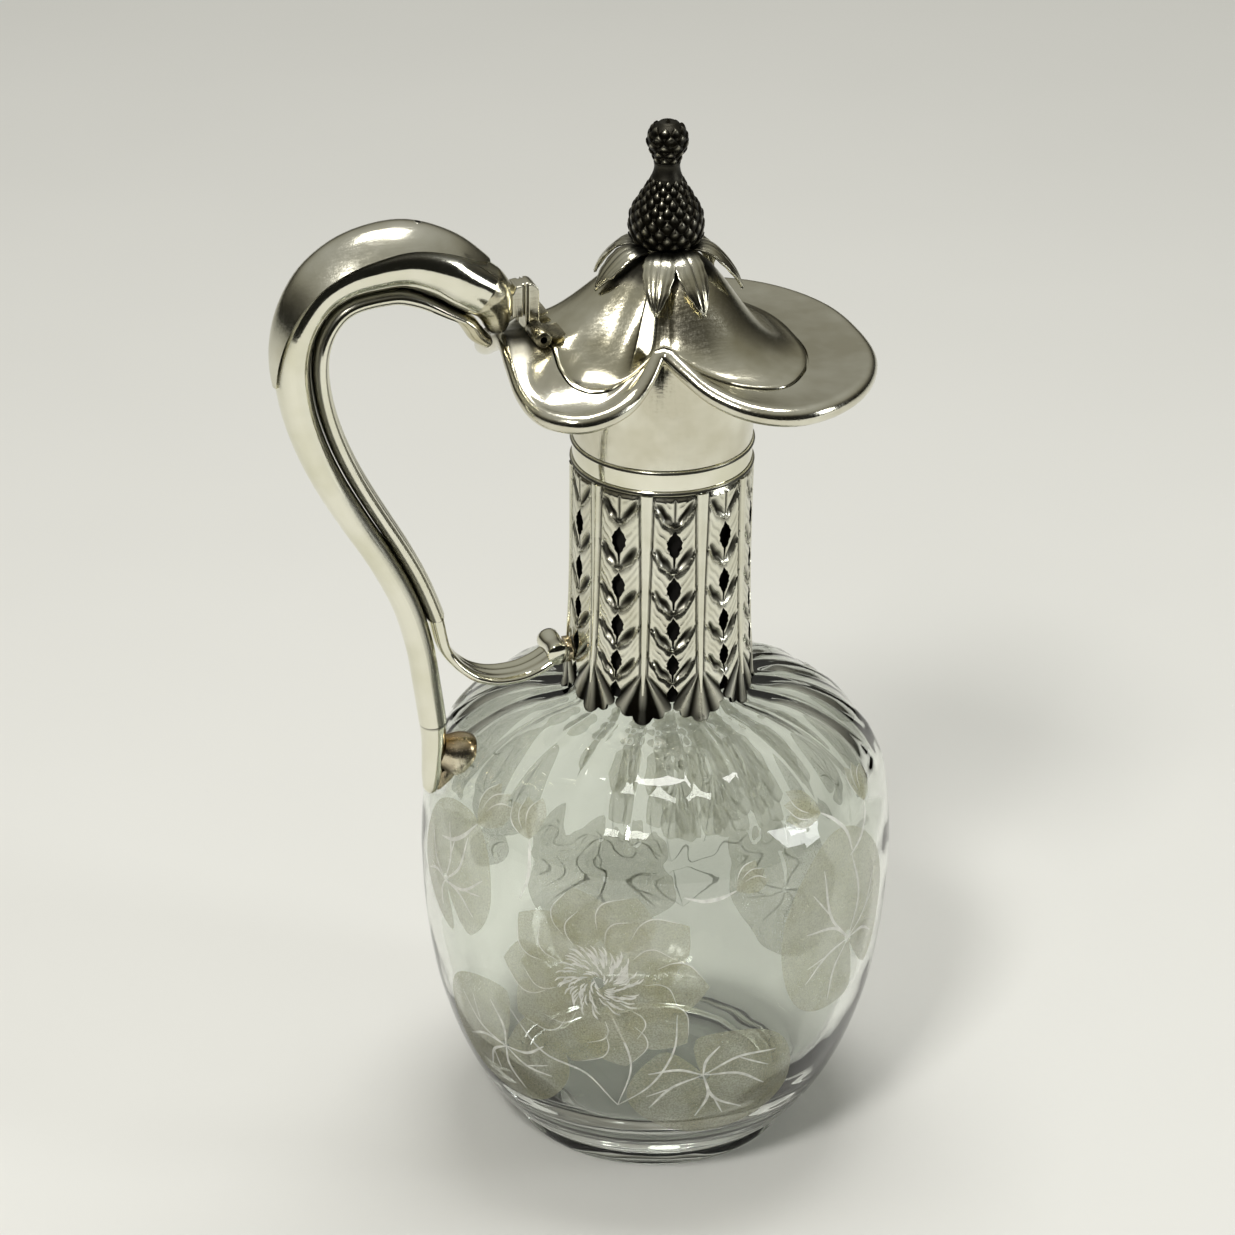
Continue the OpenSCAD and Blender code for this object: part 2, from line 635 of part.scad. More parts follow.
module tail_socket() {
    color(silver) difference() {
        union() {
            skin([for (i = [0:len(tail_pts) - 1])
                      oval(tail_pts[i], inward(tail_pts, i), stem_tail_a, stem_tail_b, 20)]);
            rotate([90, 0, 0]) linear_extrude(2 * socket_b, center = true) socket_outline();
        }
        glass_shape(0.25);
        lug(0.5);
    }
}

// The cement round the glass lug inside the socket
module socket_plaster() {
    color(plaster) difference() {
        lug(0.5 - fit);
        glass_shape(0.25);
        lug(fit);
    }
}

glass_foot();
glass_bowl();
glass_shoulder();
glass_neck();
collar();
collar_ribs();
band_wires();
neck_band();
neck_plaster();
spout_lip();
lid_shell();
finial();
finial_calyx();
finial_stud();
finial_washer();
finial_nut();
hinge_fixed_lug();
hinge_lid_knuckles();
hinge_pin();
handle_terminal();
handle_outer_stem();
handle_inner_stem();
handle_thumb_leaf();
handle_strut();
strut_boss();
tail_socket();
socket_plaster();
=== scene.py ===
"""Claret jug: a cut and engraved glass vessel in a silver mount with a hinged lid, seen in a plain studio."""

import math
import random

import bmesh
import bpy
import numpy as np
from mathutils import Matrix, Vector
from mathutils.geometry import delaunay_2d_cdt


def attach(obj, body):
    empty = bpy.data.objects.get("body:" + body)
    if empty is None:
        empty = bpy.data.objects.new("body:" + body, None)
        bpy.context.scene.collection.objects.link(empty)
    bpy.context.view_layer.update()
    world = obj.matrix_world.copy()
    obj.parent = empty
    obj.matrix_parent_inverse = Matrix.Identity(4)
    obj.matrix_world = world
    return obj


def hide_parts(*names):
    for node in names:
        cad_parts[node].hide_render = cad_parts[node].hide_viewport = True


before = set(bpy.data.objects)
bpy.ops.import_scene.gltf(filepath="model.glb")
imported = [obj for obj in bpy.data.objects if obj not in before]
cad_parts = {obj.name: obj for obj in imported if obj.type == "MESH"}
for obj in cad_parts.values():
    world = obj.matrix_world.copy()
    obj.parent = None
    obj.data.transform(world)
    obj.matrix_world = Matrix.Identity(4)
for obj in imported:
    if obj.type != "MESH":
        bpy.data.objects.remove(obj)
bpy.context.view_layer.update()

# ---- Glass vessel ----------------------------------------------------------------------------
# A bottle of clear lead glass, blown into a mould. Twenty shallow flutes are cut round its
# shoulder with a stone wheel and polished again. Its plain neck stands up inside the silver mount.


def curve(points, steps, before=None, after=None):
    """A smooth curve through all the points, with the given number of steps to a span."""
    p = np.array(points, float)
    first = 2 * p[0] - p[1] if before is None else np.array(before, float)
    last = 2 * p[-1] - p[-2] if after is None else np.array(after, float)
    q = np.vstack([first, p, last])
    t = (np.arange(steps) / steps)[:, None]
    out = [(2 * b + (c - a) * t + (2 * a - 5 * b + 4 * c - d) * t ** 2 + (3 * b - a - 3 * c + d) * t ** 3) / 2
           for a, b, c, d in zip(q, q[1:], q[2:], q[3:])]
    return np.vstack(out + [p[-1:]])


def skin(rings, closed=False, caps=True, round_ring=True):
    """Points and faces of a surface through rings that all have the same number of points."""
    rings = np.array(rings, float)
    m, n = rings.shape[:2]
    faces = []
    for i in range(m if closed else m - 1):
        a, b = i * n, ((i + 1) % m) * n
        for j in range(n if round_ring else n - 1):
            k = (j + 1) % n
            faces.append((a + j, a + k, b + k, b + j))
    if caps and not closed:
        faces += [tuple(range(n - 1, -1, -1)), tuple((m - 1) * n + j for j in range(n))]
    return rings.reshape(-1, 3), faces


def joined(parts):
    """One list of points and one of faces from several."""
    points, faces, start = [], [], 0
    for p, f in parts:
        points.append(np.asarray(p, float))
        faces += [tuple(i + start for i in face) for face in f]
        start += len(p)
    return np.vstack(points), faces


def piece(name, shape, material, body="jug", nodes=(), sharp=None, tarnish_and_shade=None):
    """Makes a piece from points in mm: its material, its body, what it stands for and how dark it is."""
    points, faces = shape
    mesh = bpy.data.meshes.new(name)
    mesh.from_pydata((np.asarray(points) * 0.001).tolist(), [], faces)
    mesh.validate()
    bm = bmesh.new()
    bm.from_mesh(mesh)
    bmesh.ops.recalc_face_normals(bm, faces=bm.faces)
    bm.to_mesh(mesh)
    bm.free()
    if tarnish_and_shade is not None:
        marks = mesh.attributes.new("tarnish_and_shade", "FLOAT", "POINT")
        marks.data.foreach_set("value", np.clip(np.ravel(tarnish_and_shade), 0, 1).astype(np.float32))
    mesh.shade_smooth()
    if sharp is not None:
        mesh.set_sharp_from_angle(angle=math.radians(sharp))
    obj = bpy.data.objects.new(name, mesh)
    bpy.context.scene.collection.objects.link(obj)
    mesh.materials.append(material)
    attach(obj, body)
    if nodes:
        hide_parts(*nodes)
    return obj


def round_steps(count):
    """The angles of points that stand evenly round a ring."""
    return np.radians(np.arange(count) * 360 / count)


def revolved(profile, columns):
    """Rings round the jug's axis, one for each [radius, height] of the profile."""
    a = round_steps(columns)
    return [np.stack([r * np.cos(a), r * np.sin(a), np.full(columns, z)], 1) for r, z in profile]


def colour(text):
    """An sRGB hex colour as the linear colour that a shader takes."""
    parts = [int(text[i:i + 2], 16) / 255 for i in (1, 3, 5)]
    return tuple(c / 12.92 if c <= 0.04045 else ((c + 0.055) / 1.055) ** 2.4 for c in parts) + (1.0,)


def node(tree, kind, settings, inputs):
    """Adds one node with its settings, its plain values and its links."""
    n = tree.nodes.new(kind)
    for key, value in settings.items():
        setattr(n, key, value)
    for key, value in inputs.items():
        if isinstance(value, bpy.types.NodeSocket):
            tree.links.new(value, n.inputs[key])
        else:
            n.inputs[key].default_value = value
    return n


def new_material(name):
    """An empty material: its tree, and its shader."""
    material = bpy.data.materials.new(name)
    material.use_nodes = True
    return material, material.node_tree, material.node_tree.nodes["Principled BSDF"]


COLUMNS = 240                   # points round the vessel, the neck band and its wires
FLUTES = 20
FLUTE_DEEP = 0.75
FLUTE_LOW = 101.5               # height where the wheel first touches the body
FLUTE_FULL = 124                # height from which it cuts to its full depth
BODY_CURVE = [(41.8, 8), (46.1, 14), (50.5, 22), (54.5, 32), (57.9, 44), (60.2, 58), (61.3, 72),
              (61.5, 85), (60, 100), (57.6, 106.5), (54, 112), (48.3, 117.2), (41, 121.6),
              (33.8, 124.2), (28, 125.2), (23.6, 126.1), (21, 129.4), (20.2, 136), (19.8, 145)]
INSIDE_CURVE = [(28, 11.6), (38, 14.8), (43.6, 20.4), (48, 28), (52.3, 38), (55.2, 50), (57, 64),
                (57.8, 80), (57, 94), (53.8, 104.6), (48, 111.8), (39, 117.4), (29, 121),
                (21.6, 124.6), (17.4, 130.5), (16, 138)]
outside = curve(BODY_CURVE, 8)
foot = [(0.01, 0.9), (30, 0.9), (33.5, 0.35), (35.2, 0), (36.2, 0.25), (36.7, 1), (37, 3.2),
        (37.15, 5), (37.6, 6), (38.7, 6.7), (40.2, 7.1)]
neck = [(19.8, 150), (19.8, 204.2), (19.4, 205), (15.9, 205), (15.5, 204.2), (15.5, 150)]
inside = curve(INSIDE_CURVE, 6)[::-1]
vessel = revolved(foot + [tuple(p) for p in outside] + neck + [tuple(p) for p in inside]
                  + [(20, 11.15), (10, 11.02), (0.01, 11)], COLUMNS)
for k, ring in enumerate(vessel[len(foot):len(foot) + len(outside)]):
    r, z = outside[k]
    # How deep the wheel went here: from nothing at the flutes' rounded lower ends to full depth
    deep = FLUTE_DEEP * min(1, max(0, (z - FLUTE_LOW) / 9)) ** 1.3 if z < FLUTE_FULL else FLUTE_DEEP
    off_middle = (np.arange(COLUMNS) * FLUTES / COLUMNS + 0.5) % 1 * 2 - 1
    ridge = FLUTE_DEEP * off_middle ** 2
    cut = np.maximum(0, deep - ridge) * min(1, r / 30)
    # The cut goes in square to the shoulder: the slope of the profile tells which way that is
    a, b = outside[max(k - 1, 0)], outside[min(k + 1, len(outside) - 1)]
    slope = np.array([b[1] - a[1], a[0] - b[0]]) / np.hypot(*(b - a))
    ring[:, :2] *= ((r - cut * slope[0]) / r)[:, None]
    ring[:, 2] -= cut * slope[1]

# Clear lead glass: colourless with a breath of green grey where it is thick, and a high gloss.
lead_glass, tree, shader = new_material("clear_lead_glass")
shader.inputs["Base Color"].default_value = colour("#f3f6f1")
shader.inputs["Transmission Weight"].default_value = 1.0
shader.inputs["Roughness"].default_value = 0.012
shader.inputs["IOR"].default_value = 1.54
# Mould-blown glass is never quite flat: waves 12 to 20 mm long, a few hundredths of a millimetre deep
place = node(tree, "ShaderNodeTexCoord", {}, {})
waves = node(tree, "ShaderNodeTexNoise", {}, {"Vector": place.outputs["Object"], "Scale": 60.0,
                                              "Detail": 1.0})
ripple = node(tree, "ShaderNodeBump", {}, {"Height": waves.outputs["Fac"], "Strength": 0.10,
                                           "Distance": 0.002})
tree.links.new(ripple.outputs["Normal"], shader.inputs["Normal"])

piece("glass_vessel", skin(vessel, caps=False), lead_glass, sharp=60,
      nodes=["glass_foot", "glass_bowl", "glass_shoulder", "glass_neck"])

# The glass lug on the shoulder that the handle's socket is cemented over
LUG_ROOT = np.array([-50.5, 0, 112.5])
LUG_LEAN = math.radians(-70)
lug_axis = np.array([math.sin(LUG_LEAN), 0, math.cos(LUG_LEAN)])
lug_side = np.array([math.cos(LUG_LEAN), 0, -math.sin(LUG_LEAN)])


def round_the_lug(sizes, count, squash=1):
    """Rings round the lug's axis, one for each [way along it, radius], narrowed along Y by squash."""
    turn = round_steps(count)
    circle = np.outer(np.cos(turn), lug_side) + np.outer(np.sin(turn), [0, 1, 0])
    return [LUG_ROOT + lug_axis * along + radius * circle * [1, squash, 1] for along, radius in sizes]


piece("glass_lug", skin(round_the_lug([(0.9, 3.2), (3, 3.2), (6.4, 3.2), (7.1, 2.9), (7.4, 2.2)], 32)),
      lead_glass, sharp=50)

# ---- Engraving -------------------------------------------------------------------------------
# Pond plants cut into the outside of the glass on small copper wheels and left matte: round floating
# leaves with veins, an open flower with pointed petals, buds and stems. Matte cuts scatter light,
# so they look pale against the clear glass. The same group is cut on both sides of the jug.

arc = np.concatenate([[0], np.cumsum(np.hypot(*np.diff(outside, axis=0).T))])


def on_glass(x, y, angle, z, proud):
    """Places flat drawings on the glass: x mm round it and y mm up its side from angle and z."""
    s = np.interp(z, outside[:, 1], arc) + np.asarray(y, float)
    r = np.interp(s, arc, outside[:, 0])
    height = np.interp(s, arc, outside[:, 1])
    t = math.radians(angle) + np.asarray(x, float) / r
    r = r + proud
    return np.stack([r * np.cos(t), r * np.sin(t), height], -1)


def sheet(rows):
    """A surface through rows of points that are open at both ends."""
    return skin(rows, caps=False, round_ring=False)


def square_to(line):
    """At each point of a flat line, the direction square to it, on its left."""
    way = np.gradient(line, axis=0)
    way /= np.linalg.norm(way, axis=1)[:, None]
    return np.stack([-way[:, 1], way[:, 0]], 1)


def stroke(line, width, angle, z, proud):
    """One cut of the wheel along a line of [x, y], widest in its middle and fine at its ends."""
    line = curve(line, 6)
    n = len(line)
    w = width * (0.25 + 0.75 * np.sin(np.pi * (np.arange(n) + 0.5) / n))[:, None] / 2
    side = square_to(line)
    left, right = line + side * w, line - side * w
    return sheet([on_glass(left[:, 0], left[:, 1], angle, z, proud),
                  on_glass(right[:, 0], right[:, 1], angle, z, proud)])


def turned(points, degrees):
    """Flat points turned round their origin."""
    c, s = math.cos(math.radians(degrees)), math.sin(math.radians(degrees))
    p = np.asarray(points, float)
    return np.stack([p[..., 0] * c - p[..., 1] * s, p[..., 0] * s + p[..., 1] * c], -1)


RIM_POINTS = 96                 # points round the rim of a floating leaf


def floating_leaf(angle, z, wide, tall, hub, notch, seed):
    """A round leaf with a notch: its matte face, and its veins as single cuts."""
    rng = random.Random(seed)
    turns = np.radians(np.arange(RIM_POINTS + 1) * 360 / RIM_POINTS)
    gap = np.abs((np.degrees(turns) - notch + 180) % 360 - 180)
    wavy = 1 + 0.02 * np.sin(3 * turns + seed) + 0.015 * np.sin(5 * turns + 2 * seed)
    edge = np.stack([wide * np.cos(turns), tall * np.sin(turns)], 1) * wavy[:, None]
    reach = 1 - 0.9 * np.exp(-(gap / 7) ** 2)
    hub = np.array(hub, float)
    rim = hub + (edge - hub) * reach[:, None]
    rows = [hub + (rim - hub) * k / 14 for k in range(1, 15)]
    face = sheet([on_glass(row[:, 0], row[:, 1], angle, z, 0.05) for row in rows])
    cuts = []
    for k in range(7):
        way = notch + 38 + k * (284 / 6) + rng.uniform(-6, 6)
        i = int(round((way % 360) / (360 / RIM_POINTS))) % RIM_POINTS
        end = hub + (rim[i] - hub) * rng.uniform(0.66, 0.88)
        bow = turned(end - hub, rng.choice([-16, 16])) * 0.5 + hub
        cuts.append(stroke([hub, bow, end], 0.85, angle, z, 0.1))
        if k % 2:
            tip = hub + turned(end - hub, rng.choice([-15, 15])) * 0.9
            cuts.append(stroke([bow, (bow + tip) / 2, tip], 0.5, angle, z, 0.1))
    return [face], cuts


def petal(length, width, way, start, angle, z, proud):
    """A pointed petal that lies from the flower's middle outward, with a cut down its edge."""
    s = np.linspace(0, 1, 15)
    swell = np.sin(np.pi / 2 * np.clip(s / 0.6, 0, 1)) ** 0.8
    half = width / 2 * swell * (1 - np.clip((s - 0.6) / 0.4, 0, 1) ** 1.7)
    rows = []
    for v in np.linspace(-1, 1, 9):
        flat = turned(np.stack([start + length * s, v * half], 1), way)
        rows.append(on_glass(flat[:, 0], flat[:, 1], angle, z, proud))
    edge = turned(np.stack([start + length * s[2:], half[2:]], 1), way)
    return sheet(rows), stroke(edge[2::3], 0.34, angle, z, proud + 0.05)


def flower(angle, z, size, seed):
    """An open flower with two rows of petals and a dense round of curved stamens."""
    rng = random.Random(seed)
    faces, cuts = [], []
    for row, (count, length, width, start) in enumerate([(10, 19, 16, 9.5), (9, 14.5, 12.5, 7)]):
        for k in range(count):
            way = k * 360 / count + row * 17 + rng.uniform(-4, 4)
            f, c = petal(length * size * rng.uniform(0.9, 1.05), width * size, way, start * size, angle, z,
                         0.06 + 0.03 * row)
            faces.append(f)
            cuts.append(c)
    for k in range(130):
        way, far = rng.uniform(0, 360), 10.5 * size * math.sqrt(rng.uniform(0.01, 1))
        base = turned([[far * 0.75, 0], [far, 0.9], [far * 1.12, 2.2 * size]], way)
        cuts.append(stroke(base, 0.5, angle, z, 0.16))
    disc = [np.array([turned([10.6 * size * k / 6, 0], 10 * i) for i in range(37)]) for k in range(1, 7)]
    faces.append(sheet([on_glass(d[:, 0], d[:, 1], angle, z, 0.11) for d in disc]))
    return faces, cuts


def bud(angle, z, way, size):
    """A closed bud of three petals on a bent stalk."""
    faces, cuts = [], []
    for lean in (-22, 22, 0):
        f, c = petal(13 * size, 6.5 * size, way + lean, 0, angle, z, 0.06 + 0.02 * (lean == 0))
        faces.append(f)
        cuts.append(c)
    stalk = turned([[0, 0], [-6, 1.2], [-12, 4], [-17, 9]], way)
    cuts.append(stroke(stalk * size, 1.1, angle, z, 0.08))
    return faces, cuts


STEMS = [([(0, 0), (9, 9), (15, 21), (16, 33)], 0.6), ([(0, 0), (-8, 11), (-20, 15), (-30, 26)], 0.7),
         ([(0, 0), (4, 16), (0, 30), (-6, 44)], 0.6)]
matte_parts, cut_parts = [], []
for side in (0, 180):
    groups = [
        floating_leaf(-58 + side, 77, 21.5, 26, (3, -6), -60, 3),
        floating_leaf(-92.5 + side, 36.5, 22.5, 19.5, (-4, 5), 120, 5),
        floating_leaf(-153 + side, 42, 21, 20, (2, -1), 62, 7),
        floating_leaf(-168 + side, 88, 17, 18.5, (-3, -5), -75, 11),
        flower(-123 + side, 71, 1.0, 13),
        bud(-160 + side, 104, 62, 0.95), bud(-143 + side, 106, 115, 0.85), bud(-62 + side, 109, 150, 0.85),
        bud(-44 + side, 105, 70, 0.8), bud(-90 + side, 97, 30, 0.7)]
    for faces, cuts in groups:
        matte_parts += faces
        cut_parts += cuts
    for line, width in STEMS:
        cut_parts.append(stroke(line, width, -119 + side, 30, 0.07))

# Matte wheel-cut glass: the ground surface scatters light, grey with a warm olive cast, and its grain
# of about 0.4 mm is drawn a little coarser than the real 0.1 mm so that it shows.
ground_glass, tree, shader = new_material("ground_glass")
place = node(tree, "ShaderNodeTexCoord", {}, {})
clouds = node(tree, "ShaderNodeTexNoise", {}, {"Vector": place.outputs["Object"], "Scale": 95.0,
                                               "Detail": 3.0})
tint = node(tree, "ShaderNodeValToRGB", {}, {"Fac": clouds.outputs["Fac"]})
tint.color_ramp.elements[0].position, tint.color_ramp.elements[0].color = 0.36, colour("#c0be9a")
tint.color_ramp.elements[1].position, tint.color_ramp.elements[1].color = 0.66, colour("#d8d7c2")
grain = node(tree, "ShaderNodeTexNoise", {}, {"Vector": place.outputs["Object"], "Scale": 2200.0,
                                              "Detail": 1.0})
veil = node(tree, "ShaderNodeMapRange", {}, {"Value": grain.outputs["Fac"], "From Min": 0.3, "From Max": 0.7,
                                             "To Min": 0.34, "To Max": 0.56})
tree.links.new(tint.outputs["Color"], shader.inputs["Base Color"])
tree.links.new(veil.outputs["Result"], shader.inputs["Alpha"])
# Part of the light goes through and is spread, so cuts on the far side don't stand out dark
shader.inputs["Transmission Weight"].default_value = 0.5
shader.inputs["Roughness"].default_value = 0.62
shader.inputs["IOR"].default_value = 1.5

# The single cuts go deeper and catch the light along their edges, so they are almost white.
cut_glass, tree, shader = new_material("wheel_cut_line")
place = node(tree, "ShaderNodeTexCoord", {}, {})
worn = node(tree, "ShaderNodeTexNoise", {}, {"Vector": place.outputs["Object"], "Scale": 400.0,
                                             "Detail": 2.0})
veil = node(tree, "ShaderNodeMapRange", {}, {"Value": worn.outputs["Fac"], "From Min": 0.3, "From Max": 0.7,
                                             "To Min": 0.50, "To Max": 0.85})
shader.inputs["Base Color"].default_value = colour("#f0f0ea")
tree.links.new(veil.outputs["Result"], shader.inputs["Alpha"])
shader.inputs["Roughness"].default_value = 0.4

piece("engraving_matte", joined(matte_parts), ground_glass)
piece("engraving_cuts", joined(cut_parts), cut_glass)

# ---- Collar ----------------------------------------------------------------------------------
# A tube of silver sheet, chased and pierced in ten panels. In each panel pairs of laurel leaves stand
# over lozenge holes, and at the hem acanthus tips spread over the glass. Plain straps part the panels.

PANELS = 10
PANEL_PHASE = 187               # the angle of the first panel's middle
PANEL_TURN = 360 / PANELS
PANEL_HALF = 7.15               # half a panel's width when it is laid out flat
COLLAR_TOP = 190.0
COLLAR_LOW = 126.6
EDGE_STEP = 0.45                # spacing of points along a panel's sides and top
HEM_STEP = 0.3                  # and along its hem
SIDE_POINTS, TOP_POINTS = 140, 30
GRID = 0.333                    # spacing of points inside it, fine enough for the chasing
COLLAR_CURVE = [(24.8, 126.6), (24.3, 129), (23.9, 132.5), (23.5, 138), (23.1, 146), (22.8, 156),
                (22.7, 172), (22.8, 190)]
collar_profile = curve(COLLAR_CURVE, 8)
HOLES = [176.4, 163.8, 152.6, 142.8, 134.4]
HEM_LOBES = [(0, 2.5, 126.3), (3.5, 1.75, 127.9), (5.75, 1.4, 130.1)]


def hem_height(d):
    """Height of the hem at d mm from the middle of an acanthus tip: three round lobes a side."""
    z = 133.2
    for middle, radius, low in HEM_LOBES:
        if abs(d - middle) < radius:
            z = min(z, low + radius - math.sqrt(radius ** 2 - (d - middle) ** 2))
    return z


def strap_half(z):
    """Half the width of the plain strap at a height."""
    return np.interp(z, [134.5, 140, 165, 190], [0.35, 0.6, 1.0, 1.6])


def hole_size(i):
    """The piercings get smaller down the panel: the size of number i against the drawn outline."""
    return 1.17 - 0.085 * i


def collar_relief(x, z):
    """Height of the chased work over the sheet, in mm, and how dark it is, for points across one panel."""
    ax = np.abs(x)
    # Every leaf starts at a foot on the middle line and sweeps up and outward to the strap
    start = z - (0.3 * ax + 0.15 * ax ** 2) + 0.3 * np.sin(1.7 * x + 0.6 * z) * np.clip(ax / 2, 0, 1)
    high, dark = np.full_like(x, 0.5), np.zeros_like(x)
    feet = [hole + 3.4 * hole_size(i) + 0.6 for i, hole in enumerate(HOLES)] + [HOLES[-1] - 5.6]
    ends = np.sin(np.pi * np.clip((ax - 0.4) / 4.6, 0, 1)) ** 0.7
    for i, low in enumerate(feet):
        pitch = (feet[i - 1] if i else low + 12.6) - low
        u = (start - low) / pitch
        here = (u >= 0) & (u < 1)
        hollow = np.exp(-((u - 0.15) / (0.03 + 0.085 * ends)) ** 2) * ends
        edge = np.exp(-((u - 0.01) / 0.05) ** 2)
        flutes = sum(np.exp(-((u - at) / 0.03) ** 2) for at in (0.45, 0.68))
        flutes *= np.clip(ax / 1.6, 0, 1) * np.clip((6.4 - ax) / 1.6, 0, 1)
        tucked = np.clip((u - 0.84) / 0.16, 0, 1)
        slit = np.exp(-(ax / 0.3) ** 2) * (u > 0.1) * (u < 0.62)
        leaf = (0.55 + 0.3 * edge + 0.18 * np.sin(np.pi * np.clip(u, 0, 1)) - 1.0 * hollow - 0.12 * flutes
                - 0.3 * tucked - 0.4 * slit)
        # The black in the hollow under each leaf's edge, the flutes, the slit and the tucked ends is sulphide
        # with painted shade
        black = np.maximum.reduce([hollow ** 0.6, 0.18 * flutes, 0.9 * slit, 0.35 * tucked])
        high, dark = np.where(here, leaf, high), np.where(here, black, dark)
    # A line is cut down each side of the straps
    d = PANEL_HALF - ax
    line = np.exp(-((d - strap_half(z) - 0.3) / 0.24) ** 2)
    high, dark = high - 0.4 * line, np.maximum(dark, 0.9 * line)
    # The acanthus tip: a fan of grooved fingers that spread from the foot of each strap
    fan = 0.5 + 0.5 * np.cos(np.degrees(np.arctan2(d, 141.4 - z)) / 25 * 2 * np.pi)
    tip = np.clip((140.8 - z) / 2, 0, 1) * np.clip(((141.5 - z) * 0.9 + 0.5 - d) / 1.2, 0, 1)
    high = high * (1 - tip) + (0.15 + 0.75 * fan ** 0.7) * tip
    dark = dark * (1 - tip) + (0.3 + 0.7 * (1 - fan) ** 1.3) * tip
    top = np.clip((189.6 - z) / 1.2, 0, 1)
    return high * top, dark * top


# One panel is laid out flat: its hem, its holes with small nicks in their sides, and a fine grid
hem_at = [-PANEL_HALF + HEM_STEP * k for k in range(1, int(2 * PANEL_HALF / HEM_STEP))]
hem = [(x, hem_height(PANEL_HALF - abs(x))) for x in hem_at]
side_at = [COLLAR_TOP - EDGE_STEP * k for k in range(SIDE_POINTS + 1)]
border = ([(-PANEL_HALF, z) for z in side_at] + [(-PANEL_HALF, hem_height(0))] + hem
          + [(PANEL_HALF, hem_height(0))] + [(PANEL_HALF, z) for z in side_at[::-1]]
          + [(PANEL_HALF - EDGE_STEP * k, COLLAR_TOP) for k in range(1, TOP_POINTS + 1)])
HOLE_SIDE = [(0, 3.4), (0.55, 2.3), (0.9, 2.0), (1.15, 1.2), (1.5, 0.6), (1.25, -0.1), (1.4, -0.9),
             (0.95, -1.5), (0.8, -2.2), (0.25, -3.0), (0.13, -5.2), (0, -5.5)]
HOLE_WIDER = 1.2
hole_outline = HOLE_SIDE + [(-x, z) for x, z in HOLE_SIDE[-2:0:-1]]
hole_shapes = [[(x * hole_size(i) * HOLE_WIDER, hole + z * hole_size(i)) for x, z in hole_outline]
               for i, hole in enumerate(HOLES)]
flat_points = [Vector(p) for p in border]
loops = [[(i, (i + 1) % len(border)) for i in range(len(border))]]
for shape in hole_shapes:
    start = len(flat_points)
    flat_points += [Vector(p) for p in shape]
    loops.append([(start + i, start + (i + 1) % len(shape)) for i in range(len(shape))])


def in_loop(x, z, loop):
    """Whether a point of the flat panel is inside a closed outline."""
    odd = False
    for (x0, z0), (x1, z1) in zip(loop, loop[1:] + loop[:1]):
        if (z0 > z) != (z1 > z) and x < (x1 - x0) * (z - z0) / (z1 - z0) + x0:
            odd = not odd
    return odd


half_row = int(PANEL_HALF / GRID)
for row in range(1, int((COLLAR_TOP - COLLAR_LOW) / GRID)):
    z = COLLAR_LOW + row * GRID
    for k in range(-half_row, half_row + 1):
        x = (k + 0.5 * (row % 2)) * GRID
        if abs(x) < PANEL_HALF - 0.2 and z > hem_height(PANEL_HALF - abs(x)) + 0.2 \
                and not any(in_loop(x, z, s) for s in hole_shapes if abs(z - s[0][1] + 3) < 9):
            flat_points.append(Vector((x, z)))
points, _, triangles, _, _, _ = delaunay_2d_cdt(flat_points, [e for loop in loops for e in loop], [],
                                                1, 1e-5)
flat = np.array([tuple(p) for p in points])
triangles = [t for t in triangles if not any(in_loop(*(flat[list(t)].mean(0)), s) for s in hole_shapes)]
relief, collar_dark = collar_relief(flat[:, 0], flat[:, 1])
# Some tips are blacker than others: the angle of each dark patch and how strong it is
DARK_TIPS = [(241, 0.6), (205, 0.25), (313, 0.3), (25, 0.4), (97, 0.5), (133, 0.2)]
low_down = np.clip((137 - flat[:, 1]) / 7, 0, 1)
panels, panel_dark = [], []
for k in range(PANELS):
    a = math.radians(PANEL_PHASE + PANEL_TURN * k) - flat[:, 0] / PANEL_HALF * math.radians(PANEL_TURN / 2)
    r = np.interp(flat[:, 1], collar_profile[:, 1], collar_profile[:, 0]) - 0.35 + relief * 0.95
    front = np.stack([r * np.cos(a), r * np.sin(a), flat[:, 1]], 1)
    panels.append((front, [tuple(t) for t in triangles]))
    patch = sum(much * np.exp(-(((np.degrees(a) - at + 180) % 360 - 180) / 12) ** 2)
                for at, much in DARK_TIPS)
    panel_dark.append(collar_dark + patch * low_down)
collar_shape = joined(panels)

# Silver that has been polished for years: bright where the cloth reaches, dark where it doesn't. The
# hollows of cast and chased work keep black sulphide, told apart by how far the surface bulges out.


